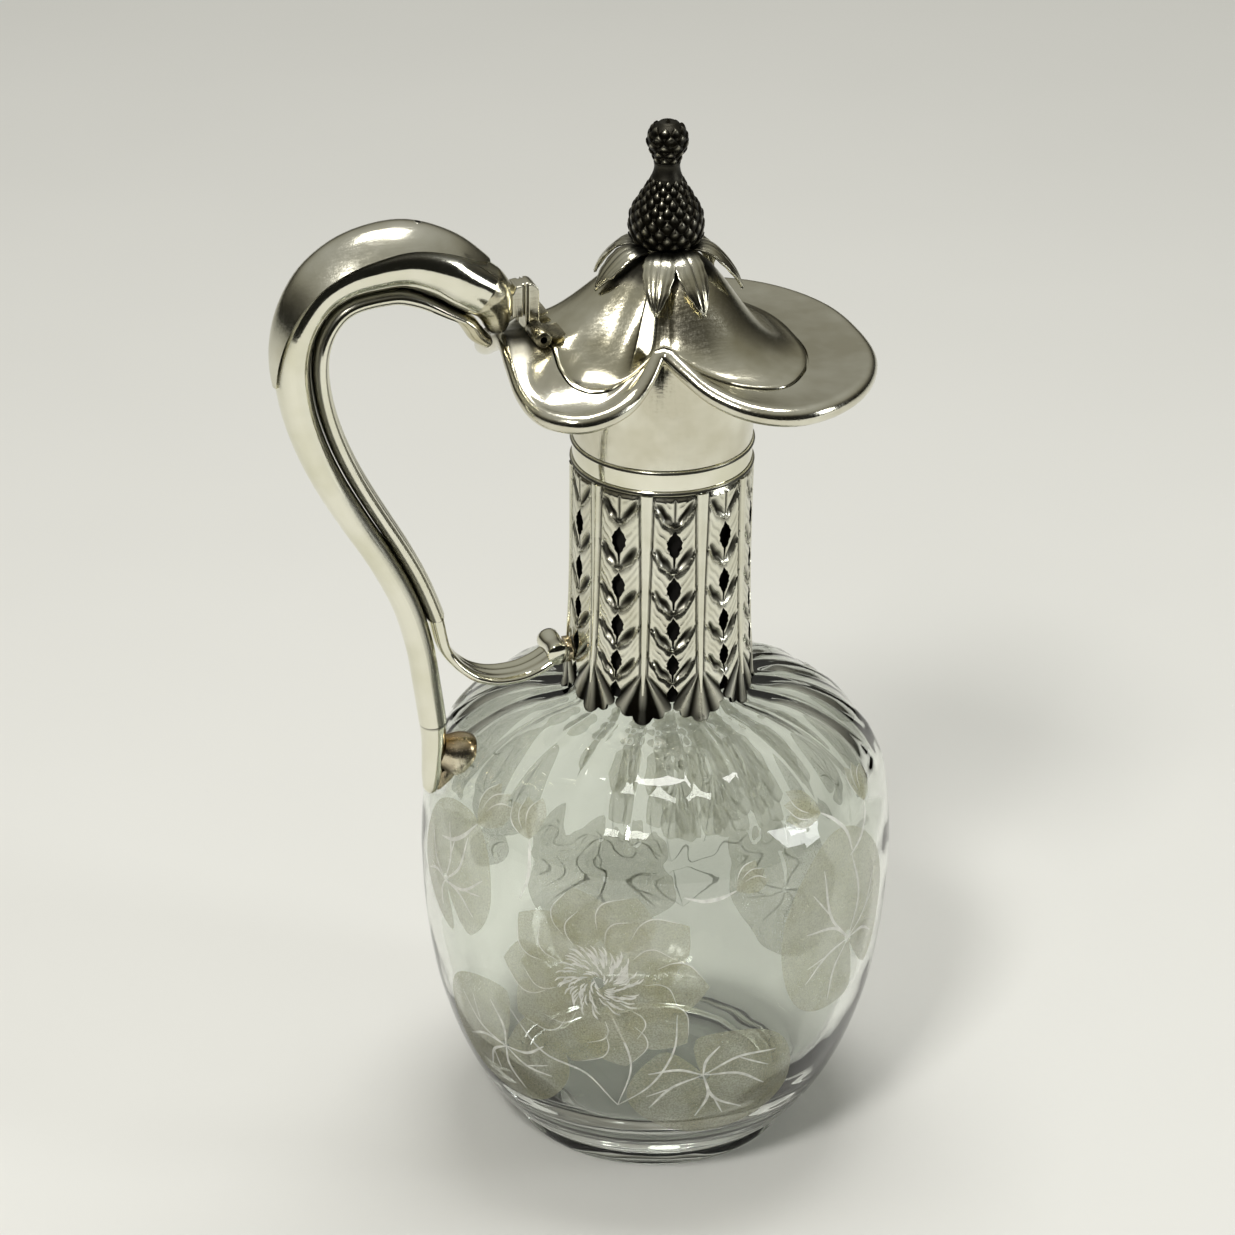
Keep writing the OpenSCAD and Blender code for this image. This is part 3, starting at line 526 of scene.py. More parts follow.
def silver(name, bright, dull, rough, scratch, hollow=None, wear=0.5):
    """Polished silver: fine random scratches, soft tone patches and, where given, darkened hollows."""
    material, tree, shader = new_material(name)
    shader.inputs["Metallic"].default_value = 1.0
    place = node(tree, "ShaderNodeTexCoord", {}, {})
    patches = node(tree, "ShaderNodeTexNoise", {}, {"Vector": place.outputs["Object"], "Scale": 55.0,
                                                   "Detail": 3.0, "Roughness": 0.6})
    tone = node(tree, "ShaderNodeValToRGB", {}, {"Fac": patches.outputs["Fac"]})
    tone.color_ramp.elements[0].position, tone.color_ramp.elements[0].color = 0.38, colour(dull)
    tone.color_ramp.elements[1].position, tone.color_ramp.elements[1].color = 0.62, colour(bright)
    skin_colour = tone.outputs["Color"]
    # Polishing scratches about 0.3 mm apart, run in two directions by stretched noise
    long_way = node(tree, "ShaderNodeMapping", {}, {"Vector": place.outputs["Object"],
                                                    "Rotation": (0.3, 0.5, 0.9), "Scale": (1.0, 1.0, 0.06)})
    cross_way = node(tree, "ShaderNodeMapping", {}, {"Vector": place.outputs["Object"],
                                                     "Rotation": (1.1, -0.4, 0.2), "Scale": (0.08, 1.0, 1.0)})
    fine = node(tree, "ShaderNodeTexNoise", {}, {"Vector": long_way.outputs["Vector"], "Scale": 2600.0,
                                                "Detail": 2.0})
    coarse = node(tree, "ShaderNodeTexNoise", {}, {"Vector": cross_way.outputs["Vector"], "Scale": 1500.0,
                                                  "Detail": 2.0})
    both = node(tree, "ShaderNodeMath", {"operation": "MULTIPLY"},
                {0: fine.outputs["Fac"], 1: coarse.outputs["Fac"]})
    gloss = node(tree, "ShaderNodeMapRange", {}, {"Value": both.outputs["Value"], "From Min": 0.12,
                                                  "From Max": 0.42, "To Min": rough,
                                                  "To Max": rough + 0.10 * wear})
    rubbed = node(tree, "ShaderNodeMath", {"operation": "MULTIPLY_ADD"},
                  {0: patches.outputs["Fac"], 1: 0.10 * wear, 2: gloss.outputs["Result"]})
    if hollow:
        bulge = node(tree, "ShaderNodeNewGeometry", {}, {})
        low = node(tree, "ShaderNodeMapRange", {}, {"Value": bulge.outputs["Pointiness"],
                                                    "From Min": 0.44, "From Max": 0.51,
                                                    "To Min": 0.0, "To Max": 1.0})
        stain = node(tree, "ShaderNodeMix", {"data_type": "RGBA"},
                     {0: low.outputs["Result"], 6: colour(hollow), 7: skin_colour})
        skin_colour = stain.outputs[2]
    # Black where the mesh is marked: sulphide in the grooves that no cloth reaches, and painted shade, shadow
    # and reflection in gaps and corners
    marks = node(tree, "ShaderNodeAttribute", {"attribute_name": "tarnish_and_shade"}, {})
    black = node(tree, "ShaderNodeMix", {"data_type": "RGBA"}, {0: marks.outputs["Fac"], 6: skin_colour,
                                                               7: colour("#14120d")})
    matte = node(tree, "ShaderNodeMath", {"operation": "MULTIPLY_ADD"},
                 {0: marks.outputs["Fac"], 1: 0.3, 2: rubbed.outputs["Value"]})
    tree.links.new(black.outputs[2], shader.inputs["Base Color"])
    tree.links.new(matte.outputs["Value"], shader.inputs["Roughness"])
    bumps = node(tree, "ShaderNodeBump", {}, {"Height": both.outputs["Value"], "Strength": scratch,
                                              "Distance": 0.0001})
    tree.links.new(bumps.outputs["Normal"], shader.inputs["Normal"])
    return material


# Chased work can't be buffed flat and stays satin. Plain tubes come from the buff almost a mirror, and
# where hands hold the jug that mirror is worn soft.
chased_silver = silver("chased_silver", "#e9e8d9", "#d8d6c3", 0.13, 0.25, hollow="#6a6655")
plain_silver = silver("plain_polished_silver", "#eceadb", "#e0deca", 0.045, 0.12)
worn_silver = silver("worn_silver", "#e4e2d4", "#d3d0be", 0.10, 0.25, wear=1.0)

collar = piece("collar_panels", collar_shape, chased_silver, nodes=["collar"], sharp=65,
               tarnish_and_shade=np.concatenate(panel_dark))
# The inside of the tube can't be polished once it is on the jug and is dark with sulphide; its near black is
# also painted shade for the piercings
lining_silver = silver("lining_sulphide_and_shade", "#171510", "#0b0a08", 0.45, 0.3)
collar.data.materials.append(lining_silver)
wall = collar.modifiers.new("sheet", "SOLIDIFY")
wall.thickness, wall.offset = 0.0009, -1.0
wall.material_offset, wall.material_offset_rim = 1, 1

# A near-black sheet on the glass neck is painted shade that closes the piercings from behind: dull, with
# paler specks of 1 mm
neck_shade_material, tree, shader = new_material("painted_shade_black")
place = node(tree, "ShaderNodeTexCoord", {}, {})
shade_specks = node(tree, "ShaderNodeTexNoise", {}, {"Vector": place.outputs["Object"], "Scale": 900.0,
                                               "Detail": 3.0})
shade_tone = node(tree, "ShaderNodeValToRGB", {}, {"Fac": shade_specks.outputs["Fac"]})
shade_tone.color_ramp.elements[0].color = colour("#0c0b09")
shade_tone.color_ramp.elements[1].color = colour("#1d1a15")
tree.links.new(shade_tone.outputs["Color"], shader.inputs["Base Color"])
shader.inputs["Roughness"].default_value = 0.9
film = [(21.2, 131), (20.7, 136), (20.35, 145), (20.35, 189.5)]
piece("neck_painted_shade", skin(revolved(film, 120), caps=False), neck_shade_material)

# The straps between the panels: half-round, tapering downward, with a line cut along each edge
straps, strap_dark = [], []
z = np.linspace(134.5, 189.9, 60)
r = np.interp(z, collar_profile[:, 1], collar_profile[:, 0])
for k in range(PANELS):
    rows = []
    middle = math.radians(PANEL_PHASE + PANEL_TURN * (k + 0.5))
    for v in np.linspace(-1, 1, 13):
        top = r + 0.1 + 0.7 * math.sqrt(max(0, 1 - v * v)) ** 0.6
        a = middle + v * strap_half(z) / r
        rows.append(np.stack([top * np.cos(a), top * np.sin(a), z], 1))
        strap_dark.append(np.full(len(z), 0.55 * math.exp(-((abs(v) - 1) / 0.1) ** 2)))
    straps.append(sheet(rows))
piece("collar_straps", joined(straps), chased_silver, nodes=["collar_ribs"], sharp=70,
      tarnish_and_shade=strap_dark)

# ---- Neck band, its wires and the cement -----------------------------------------------------
# A plain turned band closes the collar at the top. Half-round wires are soldered over its joints, and
# plaster cement between the band and the glass neck holds the whole mount on the jug.

band = [(21.7, 190.05), (22.75, 190.05), (22.8, 190.3), (22.8, 196.7), (22.75, 196.95), (21.7, 196.95)]
piece("neck_band_tube", skin(revolved(band, COLUMNS), closed=True), plain_silver, nodes=["neck_band"],
      sharp=40)
WIRE_HEIGHTS = (190.7, 196.3)
WIRE_R = 0.55
half_turn = range(-90, 91, 15)
wires = [skin(revolved([(22.85 + WIRE_R * math.cos(math.radians(t)), z + WIRE_R * math.sin(math.radians(t)))
                        for t in half_turn], COLUMNS), closed=True) for z in WIRE_HEIGHTS]
# All but their upper sides is painted black as shade, like the corners beside them
wire_shade = np.repeat([0.95 * min(1, max(0, (55 - t) / 40)) for t in half_turn], COLUMNS)
piece("band_wire_rings", joined(wires), plain_silver, nodes=["band_wires"], sharp=50,
      tarnish_and_shade=np.tile(wire_shade, len(wires)))

# Plaster cement: dull, chalky, off white, with grains and small pits of about 0.5 mm.
cement, tree, shader = new_material("plaster_cement")
place = node(tree, "ShaderNodeTexCoord", {}, {})
grains = node(tree, "ShaderNodeTexNoise", {}, {"Vector": place.outputs["Object"], "Scale": 1800.0,
                                               "Detail": 4.0})
chalk = node(tree, "ShaderNodeValToRGB", {}, {"Fac": grains.outputs["Fac"]})
chalk.color_ramp.elements[0].color = colour("#b9b09a")
chalk.color_ramp.elements[1].color = colour("#e6dfcb")
pits = node(tree, "ShaderNodeBump", {}, {"Height": grains.outputs["Fac"], "Strength": 0.5,
                                         "Distance": 0.0002})
tree.links.new(chalk.outputs["Color"], shader.inputs["Base Color"])
tree.links.new(pits.outputs["Normal"], shader.inputs["Normal"])
shader.inputs["Roughness"].default_value = 0.9


def recoat(name, material):
    """Gives a solid of the frame that shows as it is the material of the real piece."""
    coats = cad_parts[name].data.materials
    coats.clear()
    coats.append(material)


for name in ("neck_plaster", "socket_plaster"):
    recoat(name, cement)

# ---- Pouring lip -----------------------------------------------------------------------------
# Sheet silver raised into a funnel and drawn out in a trefoil: a long spout lobe in front and two side
# lobes that sweep up to the hinge. Its edge is rolled over outward. Inside it the lid's edge is seated.

# Each row: angle from the spout, lip radius, lip height, lid radius, lid height
FRONT_LOBE = [(0, 52.6, 219.4, 34, 220), (20, 53.4, 219.4, 35.2, 220), (40, 53, 219.4, 36.3, 220),
              (56, 51, 219.4, 36.2, 220.1), (68, 47.8, 219.7, 32, 220.9), (79, 41.8, 220.8, 27.2, 222.4),
              (90, 35, 223.4, 23.8, 224.6), (101, 28.6, 227.4, 21.2, 226.8), (110, 24.4, 230.2, 18.7, 228.3)]
REAR_LOBE = [(110, 24.4, 230.2, 18.7, 228.3), (114.5, 28.4, 226.4, 19.3, 227.4),
             (120.5, 33.6, 222.2, 21.5, 225.8), (127.5, 40.2, 220.2, 26.8, 223.8),
             (135, 46, 219.6, 34.4, 222.4), (145, 48.4, 219.6, 36.8, 223), (153, 48, 220.4, 36.6, 226.2),
             (161, 46.6, 222.6, 34.6, 229.6), (170, 44.8, 226.6, 33.2, 230.4), (180, 43.8, 230, 32.7, 230.5)]
ROLL = 2.5                      # radius of the rolled edge
SHEET = 1.1
SEAT_GAP = 1.65                 # how far the seat lies under the lid's upper face
NECK_IN = 21.7                  # inner radius of the sleeve that the lip grows from
LIP_FOOT = 197.05


def reflected(row, about):
    """A row of the table on the other side of the angle about."""
    return (2 * about - row[0],) + tuple(row[1:])


front_half = curve(FRONT_LOBE, 9, before=reflected(FRONT_LOBE[1], 0))
rear_half = curve(REAR_LOBE, 9, after=reflected(REAR_LOBE[-2], 180))
half_rows = np.vstack([front_half, rear_half[1:]])
other_half = half_rows[-2:0:-1].copy()
other_half[:, 0] *= -1
trefoil = np.vstack([half_rows, other_half])
turns = np.radians(trefoil[:, 0])
out_way = np.stack([np.cos(turns), np.sin(turns), np.zeros(len(turns))], 1)
up = np.array([0, 0, 1.0])
rim = trefoil[:, 1:2] * out_way
along_rim = np.roll(rim, -1, axis=0) - np.roll(rim, 1, axis=0)
rim_out = np.stack([along_rim[:, 1], -along_rim[:, 0], np.zeros(len(rim))], 1)
rim_out /= np.linalg.norm(rim_out, axis=1)[:, None]


def bend(a, b, c, d, steps):
    """Points along a bend from a to d that leaves toward b and arrives from c; end columns at once."""
    t = np.linspace(0, 1, steps + 1)[:, None, None]
    return a * (1 - t) ** 3 + b * 3 * t * (1 - t) ** 2 + c * 3 * t * t * (1 - t) + d * t ** 3


def spot(radius, height):
    """One point on every column at a radius and a height, which may be lists."""
    return np.asarray(radius).reshape(-1, 1) * out_way + np.asarray(height).reshape(-1, 1) * up


def shifted(lines, distance, first):
    """Moves every column of points square to itself: outward and down for a positive distance."""
    moved = np.empty_like(lines)
    for k in range(len(lines)):
        way = first if k == 0 else lines[min(k + 1, len(lines) - 1)] - lines[k - 1]
        flat = (way * out_way).sum(1)
        away = way[:, 2:3] * out_way - flat[:, None] * up
        moved[k] = lines[k] + away / np.linalg.norm(away, axis=1)[:, None] * distance
    return moved


lid_r, lid_z = trefoil[:, 3], trefoil[:, 4]
seat_r = np.minimum(lid_r + 0.6, trefoil[:, 1] - 2 * ROLL - 0.1)
lid_side, rim_z = lid_z - SEAT_GAP, trefoil[:, 2]
seat_z = np.minimum(lid_side, rim_z + 0.6 * np.maximum(0, lid_side - rim_z) - 0.1)
bore = np.full(len(trefoil), NECK_IN)
funnel = bend(spot(bore, LIP_FOOT), spot(bore, LIP_FOOT + 0.8 * (seat_z - LIP_FOOT)),
              spot(bore * 0.65 + seat_r * 0.35, seat_z), spot(seat_r, seat_z), 16)
roll_middle = rim + (rim_z - ROLL)[:, None] * up - rim_out * ROLL
roll_top = roll_middle + up * ROLL
# The lid's edge lies in a low step, so that the brim outside it is almost level with the lid
step = spot(seat_r + 0.1, np.maximum(seat_z, lid_z - 0.6))
brim = bend(step, step * 0.65 + roll_top * 0.35 - up * 0.4, roll_top - rim_out * 1.6, roll_top, 8)
roll = np.stack([roll_middle + ROLL * (rim_out * math.cos(math.radians(t)) + up * math.sin(math.radians(t)))
                 for t in range(78, -156, -12)])
under_funnel = shifted(funnel, SHEET, up * np.ones((len(trefoil), 1)))
lip = np.concatenate([funnel, brim, roll, under_funnel[::-1]])
# Under the hinge the brim is painted dark as shade. The rest is soft with wear
hinge_shade_on_lip = np.zeros(lip.shape[:2])
hinge_shade_on_lip[10:27] = 0.8 * np.exp(-((np.degrees(turns) % 360 - 180) / 15) ** 4)
lip_silver = silver("worn_lip_silver", "#e4e2d3", "#cfcbb8", 0.065, 0.3, wear=1.0)
piece("pouring_lip", skin(lip.transpose(1, 0, 2), closed=True), lip_silver, nodes=["spout_lip"],
      sharp=75, tarnish_and_shade=hinge_shade_on_lip.T)

# ---- Lid -------------------------------------------------------------------------------------
# One sheet of silver raised over stakes: a tall crown for the finial, hollow flanks, and a brim with
# three lobes that lies inside the lip. Its polish is worn and full of fine scratches.

LID_THICK = 1.2
CROWN_Z = 247
# Under the notches between the lobes the dome is pinched in, and at the hinge its flank is flatter
cusp = np.clip((28 - lid_r) / 8, 0, 1)
back = np.maximum(0, -np.cos(turns))
flat_back = back * (1 - cusp)
crown_r = 15.5 + (12.6 - 15.5) * cusp - back * 1.5
waist_r = 19.4 + (15.2 - 19.4) * cusp + flat_back * 4.9
waist_z = (222.3 + (224.4 - 222.3) * cusp) * (1 - flat_back) + (lid_z - 0.6) * flat_back
dome = bend(spot(np.full(len(turns), 2.3), CROWN_Z), spot(crown_r, CROWN_Z), spot(waist_r, waist_z),
            spot(lid_r, lid_z), 36)
lining = shifted(dome, LID_THICK, out_way)
# The edge is filed round instead of square
edge = [dome[-1] * (1 - t) + lining[-1] * t + out_way * 0.35 * math.sin(math.pi * t)
        for t in (0.25, 0.5, 0.75)]
lid = np.concatenate([dome, np.array(edge), lining[::-1]])
lid_silver = silver("worn_lid_silver", "#dad7c5", "#bfbaa3", 0.085, 0.30, wear=1.0)
# Between the leaves the crown is painted black as the leaves' shadow and reflection, ending in a ragged line
ragged = 240.2 + 0.5 * np.sin(5 * turns + 1) + 0.4 * np.sin(11 * turns)
crown_shadow_and_reflection = 0.92 * np.clip((lid[:, :, 2] - ragged) / 2.2, 0, 1)
piece("lid_dome", skin(lid.transpose(1, 0, 2), closed=True), lid_silver, body="lid",
      nodes=["lid_shell"], sharp=60, tarnish_and_shade=crown_shadow_and_reflection.T)

# ---- Finial ----------------------------------------------------------------------------------
# A cast bud of overlapping scales with a knob of smaller beads, screwed to the lid from inside. The
# casting was blackened and wiped, so only the tips of its scales are bright.

BUD_CURVE = [(7.6, 249.2), (8.9, 250.6), (9.5, 253.2), (9.1, 257), (7, 261), (4.4, 265.4), (3.3, 268.8),
             (3.9, 271.4), (5.1, 274), (5.4, 276), (4.6, 278.8), (2.6, 280.6)]
bud_profile = curve(BUD_CURVE, 6)
CORE_COLUMNS = 96
# The core lies 0.6 mm under the scales and shows only at the bare waist, 0.1 mm under its profile
core = ([(0.01, 249.2)] + [(r - (0.1 if 265.5 < z < 270.5 else 0.6), z) for r, z in bud_profile]
        + [(0.01, 280.4)])
parts = [skin(revolved(core, CORE_COLUMNS), caps=False)]
bud_dark = [np.full(CORE_COLUMNS * len(core), 0.93)]
# Only the swollen middle of a scale is rubbed bright; its edges and its foot stay black
SCALE_LONG, SCALE_ACROSS = np.linspace(0, 1, 8), np.linspace(-1, 1, 9)
scale_dark = np.array([[1 - 0.95 * math.exp(-(v / 0.36) ** 2 - ((s - 0.68) / 0.17) ** 2)
                        for v in SCALE_ACROSS] for s in SCALE_LONG]).ravel()


def scale(r_mid, z_mid, slope, angle, wide, tall, high):
    """A pointed scale like a drop, lying on the bud with its free tip up and standing off a little."""
    rows = []
    a0 = math.radians(angle)
    out = np.array([math.cos(a0), math.sin(a0), 0])
    side = np.array([-math.sin(a0), math.cos(a0), 0])
    rise = np.array([math.cos(slope) * out[0], math.cos(slope) * out[1], math.sin(slope)])
    proud = np.cross(side, rise)
    middle = out * r_mid + np.array([0, 0, z_mid])
    for s in SCALE_LONG:
        w = wide / 2 * (math.sin(math.pi * (0.12 + 0.88 * s) ** 0.8) ** 0.8 + 0.02)
        lift = high * (0.35 + 0.75 * s) * math.sin(math.pi * min(1, 0.15 + 0.8 * s)) ** 0.6
        rows.append([middle + rise * tall * (s - 0.45) + side * w * v
                     + proud * (lift * math.sqrt(max(0, 1 - v * v)) - 0.35) for v in SCALE_ACROSS])
    return sheet(np.array(rows))


BUD_ROWS = [250.3, 252.2, 254.1, 255.9, 257.6, 259.3, 260.9, 262.4, 263.8, 265.1]
KNOB_ROWS = [271.0, 273.0, 275.0, 277.0, 278.8]
for k, z in enumerate(BUD_ROWS + KNOB_ROWS):
    r = np.interp(z, bud_profile[:, 1], bud_profile[:, 0])
    near = [np.interp(z + d, bud_profile[:, 1], bud_profile[:, 0]) for d in (-0.6, 0.6)]
    slope = math.atan2(1.2, near[1] - near[0])
    knob = z in KNOB_ROWS
    count = 9 if knob else 15 if k < 7 else 12
    wide = 2 * math.pi * r / count * (0.9 if knob else 0.8)
    tall = 2.5 if knob else 3.6 - 0.9 * k / 10
    for i in range(count):
        parts.append(scale(r - 0.45, z, slope, (i + 0.5 * (k % 2)) * 360 / count, wide, tall,
                           0.95 if knob else 1.15))
        bud_dark.append(scale_dark)
for angle in (0, 180):
    parts.append(scale(0.2, 280.0, math.pi / 2, angle, 3, 2.4, 0.9))
    bud_dark.append(scale_dark)
bud_silver = silver("blackened_silver", "#c4c1b1", "#8f8b7c", 0.12, 0.3, hollow="#24221c", wear=0.6)
piece("finial_bud", joined(parts), bud_silver, body="lid", nodes=["finial"], sharp=80,
      tarnish_and_shade=np.concatenate(bud_dark))

# ---- Leaves under the finial -----------------------------------------------------------------
# Seven leaves cut from thin sheet, each with a sunk midrib and fine veins, curved down over the crown
# from a thin ring that the finial clamps.

LEAF_TURNS = [-173, -116, -79, -20, 32, 84, 136]
leaf_spine = curve([(5.0, 248.7), (8.4, 249.0), (11.8, 248.0), (15, 245.0), (17.8, 241.0), (19.6, 236.6)], 6)
leaf_steps = np.linspace(0, 1, len(leaf_spine))
leaf_parts, leaf_shadow_and_reflection = [], []
for k, direction in enumerate(LEAF_TURNS):
    rng = random.Random(40 + k)
    droop, twist, grow = rng.uniform(-0.6, 0.9), rng.uniform(-0.10, 0.10), rng.uniform(0.95, 1.04)
    half = grow * np.interp(leaf_steps, [0, 0.15, 0.35, 0.55, 0.75, 0.9, 1],
                            [2.8, 3.5, 4.2, 4.2, 3.2, 1.6, 0.15])
    a = math.radians(direction)
    out, side = np.array([math.cos(a), math.sin(a), 0]), np.array([-math.sin(a), math.cos(a), 0])
    rows = []
    for v in np.linspace(-1, 1, 25):
        wave = 1 + 0.03 * np.sin(leaf_steps * 40 + v * 3)
        veins = 0.035 * math.cos(v * math.pi * 6) - 0.28 * math.exp(-(v / 0.08) ** 2)
        arch = -0.95 * v * v * half / 4.5
        flat = leaf_spine + square_to(leaf_spine) * (veins + arch)[:, None]
        flat[:, 1] -= (droop - 3.2 * max(0, -math.cos(a)) ** 2) * leaf_steps ** 2
        rows.append(flat[:, :1] * out + flat[:, 1:] * up
                    + side * (v * half * wave + twist * half * leaf_steps * 2)[:, None])
        leaf_shadow_and_reflection.append(np.maximum(0.9 * np.clip((0.42 - leaf_steps) / 0.2, 0, 1),
                                    0.5 * math.exp(-(v / 0.07) ** 2)))
    leaf_parts.append(sheet(np.array(rows)))
# Sheet cut and left from the chaser's punches: softer than the lid. Under the finial the roots of the leaves
# are painted black as its shadow and reflection, and a line in each midrib as painted shade
leaf_silver = silver("leaf_silver", "#e0decf", "#c4c0ab", 0.14, 0.4, hollow="#4c483a")
leaves = piece("finial_leaves", joined(leaf_parts), leaf_silver, body="lid", nodes=["finial_calyx"], sharp=70,
               tarnish_and_shade=leaf_shadow_and_reflection)
wall = leaves.modifiers.new("sheet", "SOLIDIFY")
wall.thickness, wall.offset = 0.0006, -1.0
ring = [(2.3, 247.05), (6.2, 247.05), (6.45, 247.6), (6.3, 248.6), (5.6, 249.1), (2.3, 249.1)]
piece("finial_ring", skin(revolved(ring, 96), closed=True), leaf_silver, body="lid", sharp=50)

# The finial's stud, washer and nut inside the lid, and the pin of the hinge. Drawn steel wire is grey
# with a fine grain, and turned brass is yellow and a little smoother.


def bar_metal(name, tint, grain, detail, smooth, rough):
    """A plain metal from the drawing die or the lathe, its gloss broken by a fine grain."""
    material, tree, shader = new_material(name)
    place = node(tree, "ShaderNodeTexCoord", {}, {})
    lines = node(tree, "ShaderNodeTexNoise", {}, {"Vector": place.outputs["Object"], "Scale": grain,
                                                  "Detail": detail})
    gloss = node(tree, "ShaderNodeMapRange", {}, {"Value": lines.outputs["Fac"], "To Min": smooth,
                                                  "To Max": rough})
    tree.links.new(gloss.outputs["Result"], shader.inputs["Roughness"])
    shader.inputs["Base Color"].default_value = colour(tint)
    shader.inputs["Metallic"].default_value = 1.0
    return material


drawn_steel = bar_metal("drawn_steel", "#8d8b88", 1500.0, 2.0, 0.25, 0.45)
turned_brass = bar_metal("turned_brass", "#b59a62", 900.0, 3.0, 0.22, 0.42)
for name, material in [("finial_stud", drawn_steel), ("hinge_pin", drawn_steel),
                       ("finial_washer", turned_brass), ("finial_nut", turned_brass)]:
    recoat(name, material)

# ---- Hinge and the strut's boss --------------------------------------------------------------
# Sand castings, filed and polished: the fixed lug with its three fins, the boss on the collar, and the
# lid's two knuckles. The file has taken the corners off, so lug and boss are softened solids.

VOXEL = 0.0002                  # metres between the points of a softened solid
cast_silver = silver("cast_silver", "#e2dfcf", "#c9c4ae", 0.12, 0.35, hollow="#38342a", wear=0.9)
# Castings by the cement are yellow brown from heat and damp
warm_silver = silver("warm_cast_silver", "#f0e8cf", "#a98b59", 0.10, 0.4, hollow="#7a623a", wear=1.0)
for name, soften, material in [("hinge_fixed_lug", 10, cast_silver), ("strut_boss", 4, warm_silver)]:
    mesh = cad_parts[name].data.copy()
    mesh.materials.clear()
    mesh.materials.append(material)
    casting = bpy.data.objects.new(name + "_casting", mesh)
    bpy.context.scene.collection.objects.link(casting)
    mend = casting.modifiers.new("even", "REMESH")
    mend.mode, mend.voxel_size, mend.use_smooth_shade = "VOXEL", VOXEL, True
    buff = casting.modifiers.new("buffed", "SMOOTH")
    buff.factor, buff.iterations = 0.5, soften
    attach(casting, "jug")
    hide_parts(name)


def across(outline, half, middle=0.0, round_off=0.35):
    """A plate along Y with a closed [x, z] outline; its two ends are rounded off."""
    outline = np.array(outline, float)
    centre = outline.mean(axis=0)
    rings = []
    for y, shrink in [(-1, 1), (-0.96, 0.25), (0, 0), (0.96, 0.25), (1, 1)]:
        size = np.maximum(0.1, 1 - round_off * shrink / np.linalg.norm(outline - centre, axis=1))[:, None]
        flat = centre + (outline - centre) * size
        rings.append(np.stack([flat[:, 0], np.full(len(flat), middle + y * half), flat[:, 1]], 1))
    return skin(rings)


# The lid's knuckles: two turned barrels, each with a tongue that is bent to lie on the lid
PIN_X, PIN_Z = -35.2, 231.6
KNUCKLE_R = 2.15
KNUCKLE_Y = 7.03                # from the jug's middle plane to the middle of a knuckle
turn = round_steps(32)
barrel = np.stack([PIN_X + KNUCKLE_R * np.cos(turn), PIN_Z + KNUCKLE_R * np.sin(turn)], 1)
tongue_top = curve([(-36.1, 233.3), (-34.6, 233.5), (-32.8, 232.7), (-31.2, 232.2), (-29.4, 232.5)], 4)
tongue_low = curve([(-29.3, 232.1), (-31.2, 231.4), (-33, 231.6), (-35, 232.2)], 4)
knuckles = []
for side in (-1, 1):
    knuckles.append(across(barrel, 3.97, side * KNUCKLE_Y))
    knuckles.append(across(np.vstack([tongue_top, tongue_low]), 3.6, side * KNUCKLE_Y))
# No cloth gets between the knuckles and the lip, so they are dull; their grey is painted shade, and they are
# black in every corner
shaded_knuckle_silver = silver("shaded_knuckle_silver", "#c9c5b1", "#8f8972", 0.2, 0.4, hollow="#26231b", wear=1.0)
piece("lid_knuckles", joined(knuckles), shaded_knuckle_silver, body="lid", nodes=["hinge_lid_knuckles"], sharp=60)

# ---- Handle ----------------------------------------------------------------------------------
# A seamed silver tube bent into one high scroll, thinner toward its tail, with a reeded strip soldered
# along its inside. A leaf of thicker sheet caps the arch for the thumb.

STEM_CURVE = [(-47.9, 242.4), (-52.9, 246), (-59.2, 250.4), (-67.5, 253.5), (-75.7, 253.2), (-83, 251.2),
              (-89.4, 246.8), (-94.2, 239), (-96.1, 229.4), (-95.1, 218.3), (-92.1, 207.4), (-87.4, 196.2),
              (-81, 184.4), (-73.8, 172), (-67.9, 159.4), (-64.3, 146.7), (-62.4, 134.6), (-61, 124.4)]
FINE = 6                        # steps to a span of every curve of the handle
STEM_SIDES = 72
GAP = 0.05                      # between pieces that are soldered together
stem = curve(STEM_CURVE, FINE)
stem_u = np.arange(len(stem)) / (len(stem) - 1)
stem_thick = np.interp(stem_u, [0, 0.06, 0.12, 0.18, 0.24, 0.3, 0.36, 0.42, 0.5, 0.75, 1],
                       [6.9, 7.3, 7.4, 7.4, 7.2, 6.3, 5.4, 4.7, 4.3, 3.6, 3.5])
stem_wide = np.interp(stem_u, [0, 0.06, 0.12, 0.2, 0.27, 0.36, 0.46, 0.7, 1],
                      [6.8, 7.8, 8.6, 8.8, 8.2, 7, 6.1, 4.8, 4.3])


def tube(line, thick, wide, sides, section=None):
    """Oval rings along a line, or rings with the given [across, wide] section."""
    n = square_to(line)
    if section is None:
        t = round_steps(sides)
        section = np.stack([np.cos(t), np.sin(t)], 1)
    rings = []
    for c, d, a, b in zip(line, n, thick, wide):
        flat = c + np.outer(section[:, 0] * a, d)
        rings.append(np.stack([flat[:, 0], section[:, 1] * b, flat[:, 1]], 1))
    return rings


def eased(values, rounds):
    """Values along a line with their corners smoothed away; both ends stay."""
    for _ in range(rounds):
        values[1:-1] = (values[:-2] + 2 * values[1:-1] + values[2:]) / 4
    return values


stem_thick, stem_wide = eased(stem_thick, 8), eased(stem_wide, 8)
# The thumb leaf: the points of the stem it covers, and how far round the stem it reaches, in degrees
LEAF_FIRST, LEAF_LAST = FINE // 2, 17 * FINE // 2
LEAF_REACH = 62
leaf_u = np.clip((np.arange(len(stem)) - LEAF_FIRST) / (LEAF_LAST - LEAF_FIRST), 0, 1)
leaf_swell = np.sin(np.pi * (0.02 + 0.96 * leaf_u)) ** 0.55
stem_n = square_to(stem)
